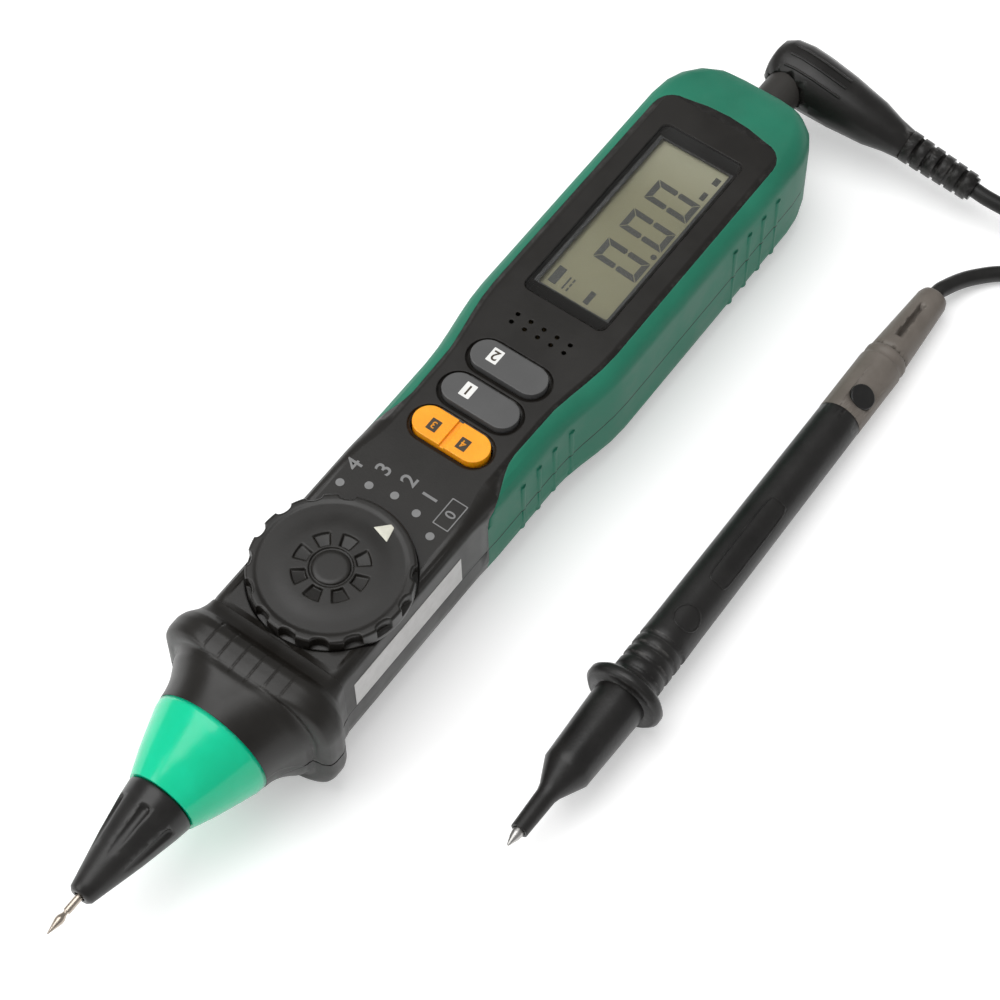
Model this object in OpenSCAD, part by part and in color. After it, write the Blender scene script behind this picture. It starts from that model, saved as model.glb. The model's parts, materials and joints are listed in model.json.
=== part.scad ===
/* [Body shells] */
// Height of the flat front panel above the back
panel_z = 26.4; // [25.5:0.1:28]
// Height of the joint line between the front and rear shells
parting_z = 13.6; // [13:0.1:14.2]
// Half width of the body beside the display
rear_half_w = 16.5; // [16:0.1:18]
// Half width of the body at the waist beside the buttons
waist_half_w = 14.4; // [14.2:0.1:15.4]
// Half width of the body beside the selector dial
front_half_w = 14.1; // [14:0.1:15]
// Corner radius along the back at the display end
back_r = 7; // [6:0.1:8]
// Corner radius along the back at the dial end
front_back_r = 9.5; // [8:0.1:10]
// Shoulder radius of the grip beside the panel
shoulder_r = 4; // [3:0.1:4.5]
// Edge radius of the black panel beside the dial
edge_r = 2.4; // [1.5:0.1:3]
// Inward lean of the side walls between the back corner and the shoulder
wall_lean = 0.3; // [0.1:0.1:0.8]
// Wall of the hard plastic shells
wall_t = 1.5; // [1.2:0.1:1.7]
// Thickness of the front panel
panel_t = 1.8; // [1.6:0.1:2]
// Thickness of the soft grip over the side walls
grip_t = 1.8; // [1.5:0.1:2]
// Distance from the dial's axis to the front end of the grips
dial_to_grip = 25.3; // [24:0.1:27]
// Distance from the visible display to the end of the front panel
display_to_panel_end = 10.8; // [10:0.1:12]
// Distance from the end of the front panel to the rear end
panel_end_to_rear = 12.2; // [12:0.1:13]
// Length of the rounded rear cap
cap_l = 14; // [13:0.5:15]

/* [Finger guard and taper] */
// Length of the black taper between the light ring and the guard
taper_l = 6.9; // [6:0.1:8]
// Half width of the finger guard
guard_half_w = 17.7; // [17.2:0.1:18.5]
// Height of the finger guard's crest
guard_top_z = 29; // [28.6:0.1:30]
// Length of the finger guard along the body
guard_t = 8.5; // [8:0.1:9]
// Corner radius of the guard's outline
guard_r = 10.3; // [9.5:0.1:12]
// Corner radius of the guard's crest
guard_top_r = 8.8; // [8:0.1:10]
// Radius of the thumb grooves across the guard's crest
groove_r = 1.1; // [0.8:0.1:1.3]

/* [Nose] */
// Height of the probe pin's axis above the back
nose_z = 17.1; // [16.8:0.1:17.3]
// Length of pin that stands out of the nose cone
pin_out = 7.9; // [7:0.1:9]
// Length of the nose cone
cone_l = 20.7; // [19:0.1:23]
// Radius of the nose cone at the light ring
cone_r = 6.4; // [6.2:0.1:6.6]
// Radius of the nose cone's front end
cone_tip_r = 2.3; // [2.1:0.1:2.6]
// Length of the light ring
ring_l = 13.3; // [13:0.1:14.5]
// Outer radius of the light ring at the shells
ring_r = 11.4; // [11.2:0.1:11.7]
// Radius of the probe pin's shaft
pin_r = 0.68; // [0.6:0.01:0.75]
// Travel of the pin when the cone is turned half round
pin_travel = 10; // [9:0.5:10]
// Outer radius of the cone's cam sleeve
sleeve_r = 5; // [4.8:0.1:5.2]
// Radius of the peg that follows the cam slot
peg_r = 0.8; // [0.7:0.05:0.85]
// Side of the pin's square tail
tail_s = 3; // [2.6:0.1:3]

/* [Selector dial] */
// Distance from the guard's front face to the dial's axis
dial_at = 26.2; // [25.5:0.1:26.6]
// Radius of the selector dial
dial_r = 14.5; // [14:0.1:15]
// Thickness of the selector dial's disc
dial_t = 3.9; // [3.6:0.1:4]
// Depth of the round recess that the dial turns in
dial_recess = 1.5; // [1.3:0.1:1.6]
// Radius of the dial's hub
hub_r = 8; // [7.5:0.1:8.4]
// Finger scallops to each side of the one opposite the pointer
scallops = 6; // [4:1:7]
// Angle from one finger scallop to the next
scallop_deg = 22.9; // [20:0.1:24]
// Radius of one finger scallop
scallop_r = 1.9; // [1.5:0.1:2.2]
// Angle of the dial's pointer at rest, from the body's long axis
dial_rest_deg = -16; // [-20:0.25:10]

/* [Buttons] */
// Distance from the dial's axis to the rocker's middle
dial_to_rocker = 33.8; // [33.3:0.1:36]
// Distance from one button's middle to the next
button_pitch = 8.55; // [8.5:0.05:9]
// Width of a button cap along the body
button_w = 6.2; // [5.8:0.1:6.2]
// Length of a button cap across the body
button_l = 15.5; // [14.5:0.1:16]
// Height of the caps above the panel
button_rise = 0.9; // [0.7:0.1:1.2]
// Travel of a pressed button
button_travel = 0.8; // [0.5:0.1:0.8]
// Radius of the rocker's trunnions
trunnion_r = 0.88; // [0.7:0.02:0.9]

/* [Display] */
// Distance from the rear button's middle to the visible display
button_to_display = 18.7; // [18.5:0.1:22]
// Length of the visible display
window_l = 40.4; // [36:0.1:48]
// Width of the visible display
window_w = 16.2; // [15:0.1:16.4]
// Border of the clear window round the visible display
lens_border = 2.7; // [2.2:0.1:2.8]
// Side border of the clear window
lens_side = 0.7; // [0.6:0.1:1]
// Thickness of the clear window
lens_t = 1; // [0.8:0.1:1.2]
// Thickness of the glass display cell
lcd_t = 2.2; // [1.8:0.1:2.4]

/* [Circuit board] */
// Height of the board's underside above the back
board_z = 18; // [17.9:0.1:18.2]
// Thickness of the circuit board
board_t = 1.6; // [1.4:0.1:1.6]
// Radius of a screw boss
boss_r = 2.3; // [2.1:0.1:2.4]

/* [Battery bay] */
// Diameter of one cell
cell_d = 10.4; // [10:0.1:10.5]
// Length of one cell's case
cell_l = 43.7; // [43.5:0.1:44]
// Length of the battery bay
bay_l = 50.5; // [50.2:0.1:51]
// Distance from the bay's rear end to the end of the front panel
bay_to_panel_end = 9.3; // [9:0.1:10]
// Thickness of the battery door
door_t = 2; // [1.8:0.1:2.2]
// Overhang of the door beyond the bay
door_lip = 1.3; // [1.1:0.1:1.4]

/* [Jack and plug] */
// Radius of the round hole for the plug's shroud
jack_r = 4.2; // [4.15:0.05:4.4]
// Outer radius of the plug's insulating shroud
shroud_r = 3.95; // [3.8:0.01:4]
// Wall of the plug's shroud
shroud_t = 0.85; // [0.7:0.01:0.9]
// Radius of the plug's pin
plug_r = 2; // [1.9:0.01:2]
// Length of shroud that shows between the body and the plug
shroud_out = 7.5; // [7:0.1:9]
// Depth that the shroud reaches into the body
shroud_in = 13; // [12:0.5:14]
// Radius of the plug's arm at the elbow
arm_r = 6.1; // [5.8:0.1:6.6]
// Length of the plug's arm from the jack's axis
arm_l = 25.5; // [25:0.5:27]
// Angle that the plug's arm hangs below level
arm_droop = 8; // [6:0.5:10]
// Length of the plug's strain relief
relief_l = 15.5; // [15:0.5:18]

/* [Test lead] */
// Diameter of the test lead
lead_d = 3.1; // [3:0.05:3.2]
// Step from one turn of the coil to the next
coil_pitch = 3.6; // [3.55:0.05:4]
// Radius of the coil's outer turn
coil_r = 24.2; // [22:0.1:25]

/* [Test probe] */
// Radius of the probe's handle
handle_r = 4.55; // [4.2:0.05:4.7]
// Length of the probe's handle behind the guard
handle_l = 69.2; // [66:0.1:74]
// Radius of the probe's finger guard
flange_r = 7.5; // [7.2:0.1:7.8]
// Length of the removable tip cap
cap_len = 30.2; // [27:0.1:31]
// Radius of the tip cap at the guard
cap_back_r = 4.9; // [4.6:0.1:5.1]
// Length of needle that stands out of the tip cap
needle_out = 3.3; // [3:0.1:4.5]
// Radius of the needle
needle_r = 1; // [0.9:0.05:1.1]
// Length of the grey collar behind the handle
collar_l = 17; // [15:0.1:18]
// Length of the tapered boot where the lead leaves the probe
boot_l = 17.7; // [15:0.1:20]
// Backward tilt of the probe as it lies on its guard
probe_tilt = 2.05; // [1.9:0.01:2.06]
// Turn of the lying probe away from the meter's long axis
probe_yaw = 0.77; // [0:0.01:1.5]

/* [Hidden] */
$fn = 64;
// Overrun of a cutting shape past the face that it opens
over = 1;
// Running gap between a turning or sliding piece and its bore
run_gap = 0.08;
// Gap round a piece that is dropped into its pocket
drop_gap = 0.15;
// Gap that keeps two near faces from touching
near_gap = 0.3;
// Length from the finger guard's front face to the rear end
body_l = dial_at + dial_to_rocker + 2 * button_pitch + button_to_display + window_l
    + display_to_panel_end + panel_end_to_rear;
// Overall length from the pin's point to the rear end
overall_l = pin_out + cone_l + ring_l + taper_l + body_l;
tip_x = -overall_l / 2;
rear_x = overall_l / 2;
cone_x = tip_x + pin_out;
ring_front_x = cone_x + cone_l;
ring_x = ring_front_x + ring_l;
guard_x = ring_x + taper_l;
dial_x = guard_x + dial_at;
grip_x = dial_x + dial_to_grip;
panel_end_x = rear_x - panel_end_to_rear;
cap_x = rear_x - cap_l;
rocker_x = dial_x + dial_to_rocker;
max_x = rocker_x + button_pitch;
func_x = max_x + button_pitch;
window_x = func_x + button_to_display;
window_end_x = window_x + window_l;
bay_x = panel_end_x - bay_to_panel_end - bay_l;
board_top_z = board_z + board_t;
underside_z = panel_z - panel_t;
recess_z = panel_z - dial_recess;
// Least plastic left under the dial's recess
recess_floor_t = 2.2;
dial_roof_z = recess_z - recess_floor_t;

// Outline of the body along its length
// Start and length of the swelling from the waist to the display end
swell_x = func_x - button_w;
swell_l = 20;
// Start and length of the change from the dial end to the grips
grip_blend_l = 8;
// Half width, floor, top, two corner radii and wall lean at the ends of the taper and the guard
ring_set = [ring_r, nose_z - ring_r, nose_z + ring_r, ring_r - near_gap, ring_r - near_gap, 0];
// Sizes of the neck in front of the finger guard
neck_half_w = 13.9;
neck_low_z = 2.6;
neck_r = 11;
neck_set = [neck_half_w, neck_low_z, guard_top_z - near_gap, neck_r, neck_r, 0];
guard_set = [guard_half_w, 0, guard_top_z, guard_r, guard_top_r, 0];
front_set = [front_half_w, 0, panel_z, front_back_r, edge_r, wall_lean];
// Shares of the taper's length and of its flare
taper_x_shares = [0, 0.28, 0.54, 0.78];
taper_flare_shares = [0, 0.12, 0.34, 0.66];
// Shares of the guard's length and of its rise
guard_x_shares = [0, 0.18, 0.22, 0.32, 0.46, 0.62, 0.79, 0.9, 1, 1.2, 1.42];
guard_rise_shares = [0, 0.2, 0.54, 0.84, 1, 1, 0.86, 0.6, 0.32, 0.08, 0];
// Half width, floor and top of the rear end's small flat, and its corner radius
cap_end_half_w = 4.6;
cap_end_low_z = 7;
cap_end_top_z = 18.5;
cap_end_r = 4.2;
corner_steps = 5;

function mix(a, b, t) = a + (b - a) * t;
function smooth(t) = t <= 0 ? 0 : t >= 1 ? 1 : t * t * (3 - 2 * t);
function grip_share(x) = smooth((x - grip_x + grip_blend_l / 2) / grip_blend_l);
function swell_share(x) = smooth((x - swell_x) / swell_l);
function half_w(x) = mix(mix(front_half_w, waist_half_w, grip_share(x)),
    rear_half_w, swell_share(x));
function body_set(x) = [half_w(x), 0, panel_z,
    mix(front_back_r, back_r, swell_share(x)),
    mix(edge_r, shoulder_r, grip_share(x)), wall_lean];
// How square the cap is in plan and in side view
cap_plan_share = 0.9;
cap_side_share = 0.5;
function cap_set(t) = let (e = pow(cos(t), cap_side_share))
    [mix(cap_end_half_w, rear_half_w, pow(cos(t), cap_plan_share)), mix(cap_end_low_z, 0, e),
    mix(cap_end_top_z, panel_z, e), mix(cap_end_r, back_r, cos(t)),
    mix(cap_end_r, shoulder_r, cos(t)), mix(0, wall_lean, cos(t))];
// Angles of the cap's stations
cap_degs = [15, 30, 45, 60, 75, 84, 90];
// Body stations: each is its place along the body and its set of sizes
grip_stations = [grip_x - grip_blend_l, grip_x - grip_blend_l / 2, grip_x - grip_blend_l / 4,
    grip_x, grip_x + grip_blend_l / 4, grip_x + grip_blend_l / 2];
swell_stations = [for (i = [0 : 5]) swell_x + swell_l * i / 5];
stations = concat(
    [for (i = [0 : len(taper_x_shares) - 1])
        [ring_x + taper_l * taper_x_shares[i],
        mix(ring_set, neck_set, taper_flare_shares[i])]],
    [for (i = [0 : len(guard_x_shares) - 1])
        [guard_x + guard_t * guard_x_shares[i],
        mix(mix(neck_set, front_set, smooth(guard_x_shares[i])), guard_set,
            guard_rise_shares[i])]],
    [for (x = concat(grip_stations, swell_stations, [cap_x])) [x, body_set(x)]],
    [for (t = cap_degs) [cap_x + cap_l * sin(t), cap_set(t)]]);

// One corner arc of a section, as [y, z] points
function arc_points(c, r, a) = [for (i = [0 : corner_steps])
    [c[0] + r * cos(a + 90 * i / corner_steps), c[1] + r * sin(a + 90 * i / corner_steps)]];
// One closed section: s holds half width, floor, top, back radius, top radius and lean
function section(s) = let (w = s[0], wt = s[0] - s[5])
    concat(arc_points([w - s[3], s[1] + s[3]], s[3], -90),
        arc_points([wt - s[4], s[2] - s[4]], s[4], 0),
        arc_points([s[4] - wt, s[2] - s[4]], s[4], 90),
        arc_points([s[3] - w, s[1] + s[3]], s[3], 180));

// Skin over a list of rings with the same number of points in each
module skin(rings) {
    n = len(rings[0]);
    m = len(rings);
    polyhedron([for (ring = rings) each ring], concat(
        [[for (i = [0 : n - 1]) i]],
        [[for (i = [0 : n - 1]) m * n - 1 - i]],
        [for (k = [0 : m - 2], i = [0 : n - 1]) each let (a = k * n + i,
            b = k * n + (i + 1) % n) [[a, a + n, b + n], [a, b + n, b]]]),
        convexity = 6);
}

// The whole outer form of the body, from the light ring to the rear end
module outer_form() {
    skin([for (st = stations) [for (p = section(st[1])) [st[0], p[0], p[1]]]]);
}

// A block over a span of the body's length and height, wider than the body
module span(x0, x1, z0, z1) {
    translate([x0, -guard_half_w - over, z0])
        cube([x1 - x0, 2 * (guard_half_w + over), z1 - z0]);
}

// Turns a shape drawn along Z so that it runs along +X
module along_x(x, y = 0, z = 0) {
    translate([x, y, z]) rotate([0, 90, 0]) children();
}

// A round rod along +X
module rod_x(x0, x1, r, y = 0, z = 0) {
    along_x(x0, y, z) cylinder(h = x1 - x0, r = r);
}

// A plan outline that follows the body's sides at an inset, between two places
plan_xs = concat(grip_stations, swell_stations, [cap_x]);
module side_prism(x0, x1, inset, z0, z1) {
    xs = concat([x0], [for (x = plan_xs) if (x > x0 && x < x1) x], [x1]);
    n = len(xs);
    translate([0, 0, z0]) linear_extrude(z1 - z0)
        polygon(concat([for (x = xs) [x, half_w(x) - inset]],
            [for (i = [0 : n - 1]) [xs[n - 1 - i], inset - half_w(xs[n - 1 - i])]]));
}

// Edge of the black panel between the grips: shares of the blend and its insets
panel_inset = 3.1;
panel_tip_inset = 0.25;
panel_blend_l = 12;
panel_corner_r = 4.5;
function panel_edge(x) = half_w(x) - mix(panel_tip_inset, panel_inset + panel_waist(x),
    smooth((x - grip_x) / panel_blend_l));
// The panel draws in a little more at the waist
panel_waist_in = 0.3;
function panel_waist(x) = panel_waist_in * (1 - swell_share(x));
panel_xs = concat([for (i = [0 : 6]) grip_x + panel_blend_l * i / 6],
    [for (i = [1 : 5]) swell_x + swell_l * i / 5]);
// Rise of the curved rear edge of the panel at its middle
panel_bow = 1.2;
module panel_prism(z0, z1, inset = 0) {
    e = panel_end_x - inset;
    c = rear_half_w - panel_inset - panel_corner_r;
    half = concat([for (x = panel_xs) [x, panel_edge(x) - inset]],
        [for (i = [0 : 5]) [e - panel_bow - panel_corner_r + panel_corner_r * sin(18 * i),
            c + panel_corner_r * cos(18 * i) - inset * cos(18 * i)]],
        [[e - panel_bow / 4, c / 2]]);
    n = len(half);
    translate([0, 0, z0]) linear_extrude(z1 - z0)
        polygon(concat([[grip_x - over, panel_edge(grip_x) - inset]], half, [[e, 0]],
            [for (i = [0 : n - 1]) [half[n - 1 - i][0], -half[n - 1 - i][1]]],
            [[grip_x - over, inset - panel_edge(grip_x)]]));
}

// The hard shell's own ground under the grips: side walls and the rear block
shoulder_z = panel_z - shoulder_r - near_gap;
core_end_shares = [[0.4, 0.82], [0.6, 0.68], [0.7, 0.5]];
core_end_x = cap_x + cap_l * core_end_shares[2][0];
module core_prism(z0, z1) {
    side_prism(grip_x - over, cap_x, grip_t, z0, z1);
    translate([0, 0, z0]) linear_extrude(z1 - z0)
        polygon(concat([[cap_x - over, grip_t - rear_half_w], [cap_x - over, rear_half_w - grip_t]],
            [for (s = core_end_shares) [cap_x + cap_l * s[0], rear_half_w * s[1]]],
            [for (i = [2 : -1 : 0]) [cap_x + cap_l * core_end_shares[i][0],
                -rear_half_w * core_end_shares[i][1]]]));
}

// Room inside the shells
cavity_x = guard_x + guard_t * guard_x_shares[10] + near_gap;
cavity_end_x = panel_end_x + over;
cavity_inset = grip_t + wall_t;
// Narrower room near the panel and near the back, where the corners round in
top_room_inset = 1.4;
low_room_inset = 5.8;
low_room_z = 4.5;
floor_t = 1.8;
side_room_z = shoulder_z - wall_t;
dial_zone_x = dial_x + dial_r + near_gap + wall_t;

// Board, bosses and screws
board_screw_r = 0.9;
board_head_r = 1.8;
board_head_t = 1.2;
board_screw_l = 3.9;
board_x = cavity_x + near_gap;
board_end_x = cavity_end_x - wall_t;
board_boss = [[board_x + boss_r + over, front_half_w - cavity_inset - boss_r - near_gap],
    [window_x - boss_r * 5.3, rear_half_w - cavity_inset - boss_r - 2 * near_gap],
    [cap_x - board_head_r - near_gap, rear_half_w - cavity_inset - boss_r - near_gap]];
board_places = [for (p = board_boss, s = [-1, 1]) [p[0], s * p[1]]];
// Screws that hold the two shells together, sunk in the back
shell_screw_r = 1.2;
shell_head_r = 2.5;
shell_head_t = 1.8;
shell_seat_z = 4.8;
shell_screw_l = 13.5;
shell_places = [for (p = [[guard_x + guard_t * 0.85, guard_half_w - guard_t + 0.5 * shell_head_r],
    [cap_x + cap_l * 0.56, rear_half_w / 2 - near_gap]], s = [-1, 1]) [p[0], s * p[1]]];

// Nose: the cam sleeve, carrier and guide
nose_bore_r = 8.6;
tail_bore_r = 5.4;
sleeve_in_r = 3.6;
sleeve_l = 17.4;
carrier_l = 6;
// Thread-like stand-off of the carrier behind the cone's shoulder at rest
carrier_x = ring_front_x + 1.4;
peg_x = carrier_x + carrier_l / 2;
slot_over = peg_r + near_gap;
slot_half_deg = 25;
guide_x = ring_front_x + sleeve_l + near_gap;
guide_t = 2.5;
tail_l = guide_x + guide_t - carrier_x - carrier_l + 1.2;
lamp_r = 1;
lamp_l = 5;
lamp_off = 6.3;
ring_neck_r = 8.5;
ring_neck_l = 3;
ring_in_r = 7.7;
ring_front_r = 6.7;
ring_bearing_l = 4;

// Dial: rotor, wipers and screw
dial_step_deg = 15.75;
rotor_t = 1.6;
rotor_r = 9.6;
rotor_top_z = dial_roof_z - near_gap;
rotor_z = rotor_top_z - rotor_t;
dial_z = recess_z + drop_gap;
dial_top_z = dial_z + dial_t;
dial_screw_r = 0.9;
dial_head_r = 1.9;
dial_head_t = 0.8;
dial_screw_l = 4;
wiper_w = 1.2;
wiper_l = 2.4;
wiper_at = 7;
// Centre boss and sector petals in the top of the dial
dial_boss_r = 3.4;
petal_in_r = 4.2;
petal_out_r = 6.9;
petals = 8;
relief_t = 0.35;
pointer_r = 13.6;
pointer_l = 3.4;
pointer_half_w = 1.95;

// Buttons: seat recess, retaining flange, stems and switches
button_top_z = panel_z + button_rise;
button_bezel = 0.9;
button_bezel_t = 0.5;
button_gap = 0.12;
flange_w = 0.6;
flange_t = 0.9;
flange_gap = 0.2;
stem_r = 1.5;
stem_foot_z = board_top_z + 1.2;
switch_s = 6;
switch_t = 2.6;
rocker_gap = 0.4;
rocker_flange_z = underside_z - 0.55;
rocker_axis_z = rocker_flange_z - flange_t / 2;
rocker_switch_s = 4.6;
rocker_stem_r = 1.1;
rocker_stem_at = 4.8;
ear_t = 0.8;
ear_at = button_w / 2 + flange_w + drop_gap;

// Display: cell, frame and contact strips
cell_border = 1.6;
cell_side = 2.3;
frame_t = 1.1;
strip_w = 1.8;
lcd_top_z = underside_z - near_gap;
lcd_z = lcd_top_z - lcd_t;

// Buzzer
buzzer_r = 5.4;
buzzer_t = 0.5;
buzzer_x = mix(func_x + button_w / 2, window_x - lens_border, 0.5);
buzzer_hole_r = 0.45;
buzzer_step_x = 2;
buzzer_step_y = 2.85;

// Fuse under the board
fuse_r = 2.5;
fuse_l = 20;
fuse_cap_l = 5;
fuse_z = board_z - fuse_r - 1.3;
fuse_x = mix(dial_x, rocker_x, 0.5) - fuse_l / 2;
clip_l = 3.6;
clip_t = 0.5;

// Battery bay
cell_z = door_t + near_gap + cell_d / 2;
cell_y = cell_d / 2 + drop_gap;
bay_half_w = cell_d + 2 * drop_gap + near_gap;
bay_top_z = cell_z + cell_d / 2 + near_gap;
roof_t = 1;
nub_r = 1.9;
nub_l = 0.8;
spring_l = bay_l - cell_l - nub_l - 2 * near_gap;
door_half_w = bay_half_w + door_lip;
tongue_l = 7;
tongue_half_w = 4.4;
door_screw_x = bay_x - door_lip - tongue_l / 2;
door_screw_r = 1.2;
door_head_r = 2.2;
door_head_t = 1.2;
door_screw_l = 7;
door_boss_r = 3;

// Jack at the rear end, on the joint line
jack_z = parting_z;
jack_depth = 15;
jack_x = rear_x - jack_depth;
jack_wall = 0.8;
jack_base_t = 2;
post_r = 2.95;
brass_r = 2.35;
socket_r = plug_r + 0.03;
post_in = 3;

// Side ribs of the grips
rib_r = 1;
rib_out = 0.4;
rib_pitch = 4.75;
rib_top_z = panel_z - 5.4;
rear_rib_x = window_x + window_l * 0.73;
front_rib_x = rocker_x + 1.7;
rib_xs = concat([for (i = [0 : 3]) rear_rib_x + i * rib_pitch],
    [for (i = [0 : 3]) front_rib_x + i * rib_pitch]);

// Vertical ribs that stand out of both side walls between two heights
module side_ribs(z0, z1) {
    for (x = rib_xs, s = [-1, 1])
        translate([x, s * (half_w(x) - wall_lean - rib_r + rib_out), z0])
            cylinder(h = z1 - z0, r = rib_r, $fn = 24);
}

// Shallow thumb grooves across the crest of the guard
groove_pitch = 6.6;
module guard_grooves() {
    for (i = [-1.5 : 1 : 1.5])
        rod_x(guard_x - over, guard_x + guard_t + over, groove_r, i * groove_pitch,
            guard_top_z + groove_r * 0.62);
}

// Round room behind the nose: wide for the guide, narrow for the pin's tail
module nose_bores() {
    rod_x(ring_x - over, guide_x + guide_t + near_gap, nose_bore_r, 0, nose_z);
    rod_x(guide_x, cavity_x + over, tail_bore_r, 0, nose_z);
}

// The round holes for the plug and the jack body
module jack_bores() {
    rod_x(core_end_x - cap_l, rear_x + over, jack_r, 0, jack_z);
    rod_x(jack_x - jack_base_t - drop_gap, cavity_end_x + drop_gap,
        jack_r + jack_wall + drop_gap, 0, jack_z);
}

module stadium(w, l, z0, z1) {
    translate([0, 0, z0]) linear_extrude(z1 - z0) {
        square([w, l - w], center = true);
        for (s = [-1, 1]) translate([0, s * (l - w) / 2]) circle(d = w);
    }
}

module rounded_box(x0, x1, half, r, z0, z1) {
    translate([0, 0, z0]) linear_extrude(z1 - z0) {
        translate([x0 + r, -half]) square([x1 - x0 - 2 * r, 2 * half]);
        translate([x0, r - half]) square([x1 - x0, 2 * (half - r)]);
        for (x = [x0 + r, x1 - r], s = [-1, 1]) translate([x, s * (half - r)]) circle(r = r);
    }
}

lens_r = 1.5;
lens_x0 = window_x - lens_border;
lens_x1 = window_end_x + lens_border;
lens_half = window_w / 2 + lens_side;

module front_shell() {
    color([0.07, 0.07, 0.075]) difference() {
        union() {
            intersection() {
                outer_form();
                union() {
                    span(ring_x - over, grip_x, parting_z, guard_top_z + over);
                    core_prism(parting_z, shoulder_z);
                    panel_prism(shoulder_z - over, panel_z + over);
                }
            }
        }
        front_room();
        front_openings();
    }
}

// Room for the works inside the front shell, less the board's bosses
module front_room() {
    difference() {
        union() {
            side_prism(cavity_x, dial_zone_x, cavity_inset, parting_z - over, dial_roof_z);
            side_prism(dial_zone_x - over, cap_x, cavity_inset, parting_z - over, side_room_z);
            side_prism(dial_zone_x, swell_x + swell_l, top_room_inset + panel_inset
                + panel_waist_in, side_room_z - over, underside_z);
            side_prism(swell_x + swell_l - over, cap_x, top_room_inset + panel_inset,
                side_room_z - over, underside_z);
            translate([cap_x - over, -rear_half_w * core_end_shares[1][1], parting_z - over])
                cube([cavity_end_x - cap_x + over, 2 * rear_half_w * core_end_shares[1][1],
                    side_room_z - parting_z + over]);
        }
        for (p = board_places) translate([p[0], p[1], board_top_z])
            cylinder(h = panel_z - board_top_z, r = boss_r);
        for (s = [-1, 1]) translate([rocker_x + s * ear_at - (s < 0 ? ear_t : 0),
            -2 * trunnion_r, rocker_axis_z - 2 * trunnion_r])
            cube([ear_t, 4 * trunnion_r, panel_t + 4 * trunnion_r]);
    }
    nose_bores();
}

// Every hole through the front shell
module front_openings() {
    guard_grooves();
    jack_bores();
    translate([dial_x, 0, recess_z]) cylinder(h = dial_t + over, r = dial_r + near_gap, $fn = 96);
    translate([dial_x, 0, dial_roof_z - over])
        cylinder(h = recess_floor_t + 2 * over, r = hub_r + run_gap);
    rounded_box(lens_x0 - drop_gap / 2, lens_x1 + drop_gap / 2, lens_half + drop_gap / 2,
        lens_r, panel_z - lens_t, panel_z + over);
    translate([window_x, -window_w / 2, underside_z - over])
        cube([window_l, window_w, panel_t + 2 * over]);
    for (x = [rocker_x, max_x, func_x]) translate([x, 0, 0])
        stadium(button_w + 2 * button_bezel, button_l + 2 * button_bezel,
            panel_z - button_bezel_t, panel_z + over);
    for (x = [max_x, func_x]) translate([x, 0, 0])
        stadium(button_w + 2 * button_gap, button_l + 2 * button_gap,
            underside_z - over, panel_z + over);
    translate([rocker_x, 0, 0])
        stadium(button_w + 2 * button_gap, button_l + 2 * rocker_gap,
            underside_z - over, panel_z + over);
    rod_x(rocker_x - ear_at - ear_t - over, rocker_x + ear_at + ear_t + over,
        trunnion_r + run_gap, 0, rocker_axis_z);
    for (i = [-0.5, 0.5], j = [-2 : 2])
        translate([buzzer_x + i * buzzer_step_x, j * buzzer_step_y, underside_z - over])
            cylinder(h = panel_t + 2 * over, r = buzzer_hole_r, $fn = 16);
    for (p = board_places) translate([p[0], p[1], board_top_z - over])
        cylinder(h = board_screw_l - board_t + over + drop_gap, r = board_screw_r + run_gap / 2, $fn = 24);
    for (p = shell_places) translate([p[0], p[1], parting_z - over])
        cylinder(h = shell_seat_z + shell_screw_l - parting_z + over + drop_gap,
            r = shell_screw_r + run_gap / 2, $fn = 24);
}

module front_grip() {
    color([0.0, 0.5, 0.36]) difference() {
        union() {
            intersection() {
                outer_form();
                span(grip_x, rear_x + over, parting_z, panel_z + over);
            }
            side_ribs(parting_z, rib_top_z);
        }
        core_prism(parting_z - over, shoulder_z);
        panel_prism(shoulder_z - 2 * over, panel_z + 2 * over);
        jack_bores();
        for (p = shell_places) translate([p[0], p[1], parting_z - over])
            cylinder(h = shell_seat_z + shell_screw_l - parting_z + over + drop_gap,
                r = shell_screw_r + run_gap / 2, $fn = 24);
    }
}

module rear_shell() {
    color([0.07, 0.07, 0.075]) difference() {
        union() {
            difference() {
                intersection() {
                    outer_form();
                    union() {
                        span(ring_x - over, grip_x, -over, parting_z);
                        core_prism(-over, parting_z);
                    }
                }
                rear_room();
            }
            bay_walls();
        }
        bay_room();
        nose_bores();
        jack_bores();
        shell_screw_holes();
        translate([door_screw_x, 0, 0])
            cylinder(h = door_t + door_screw_l + drop_gap, r = door_screw_r + run_gap / 2, $fn = 24);
    }
}

// Room inside the rear shell
module rear_room() {
    side_prism(cavity_x, cap_x, cavity_inset, low_room_z, parting_z + over);
    side_prism(cavity_x, cap_x, low_room_inset, floor_t, parting_z + over);
    translate([cap_x - over, -rear_half_w * core_end_shares[1][1], low_room_z])
        cube([cavity_end_x - cap_x + over, 2 * rear_half_w * core_end_shares[1][1],
            parting_z - low_room_z + over]);
}

// Walls and roof of the battery bay and the boss for the door's screw
module bay_walls() {
    translate([bay_x - wall_t, -bay_half_w - wall_t, door_t])
        cube([bay_l + 2 * wall_t, 2 * (bay_half_w + wall_t), bay_top_z + roof_t - door_t]);
    translate([door_screw_x, 0, door_t])
        cylinder(h = door_screw_l + wall_t, r = door_boss_r);
    translate([bay_x - door_lip - tongue_l - wall_t, -tongue_half_w - wall_t, floor_t])
        cube([tongue_l + door_lip + wall_t, 2 * (tongue_half_w + wall_t), wall_t]);
}

// The bay itself and the opening that the door fills
module bay_room() {
    translate([bay_x, -bay_half_w, -over]) cube([bay_l, 2 * bay_half_w, bay_top_z + over]);
    door_outline(drop_gap, -over, door_t);
}

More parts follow.
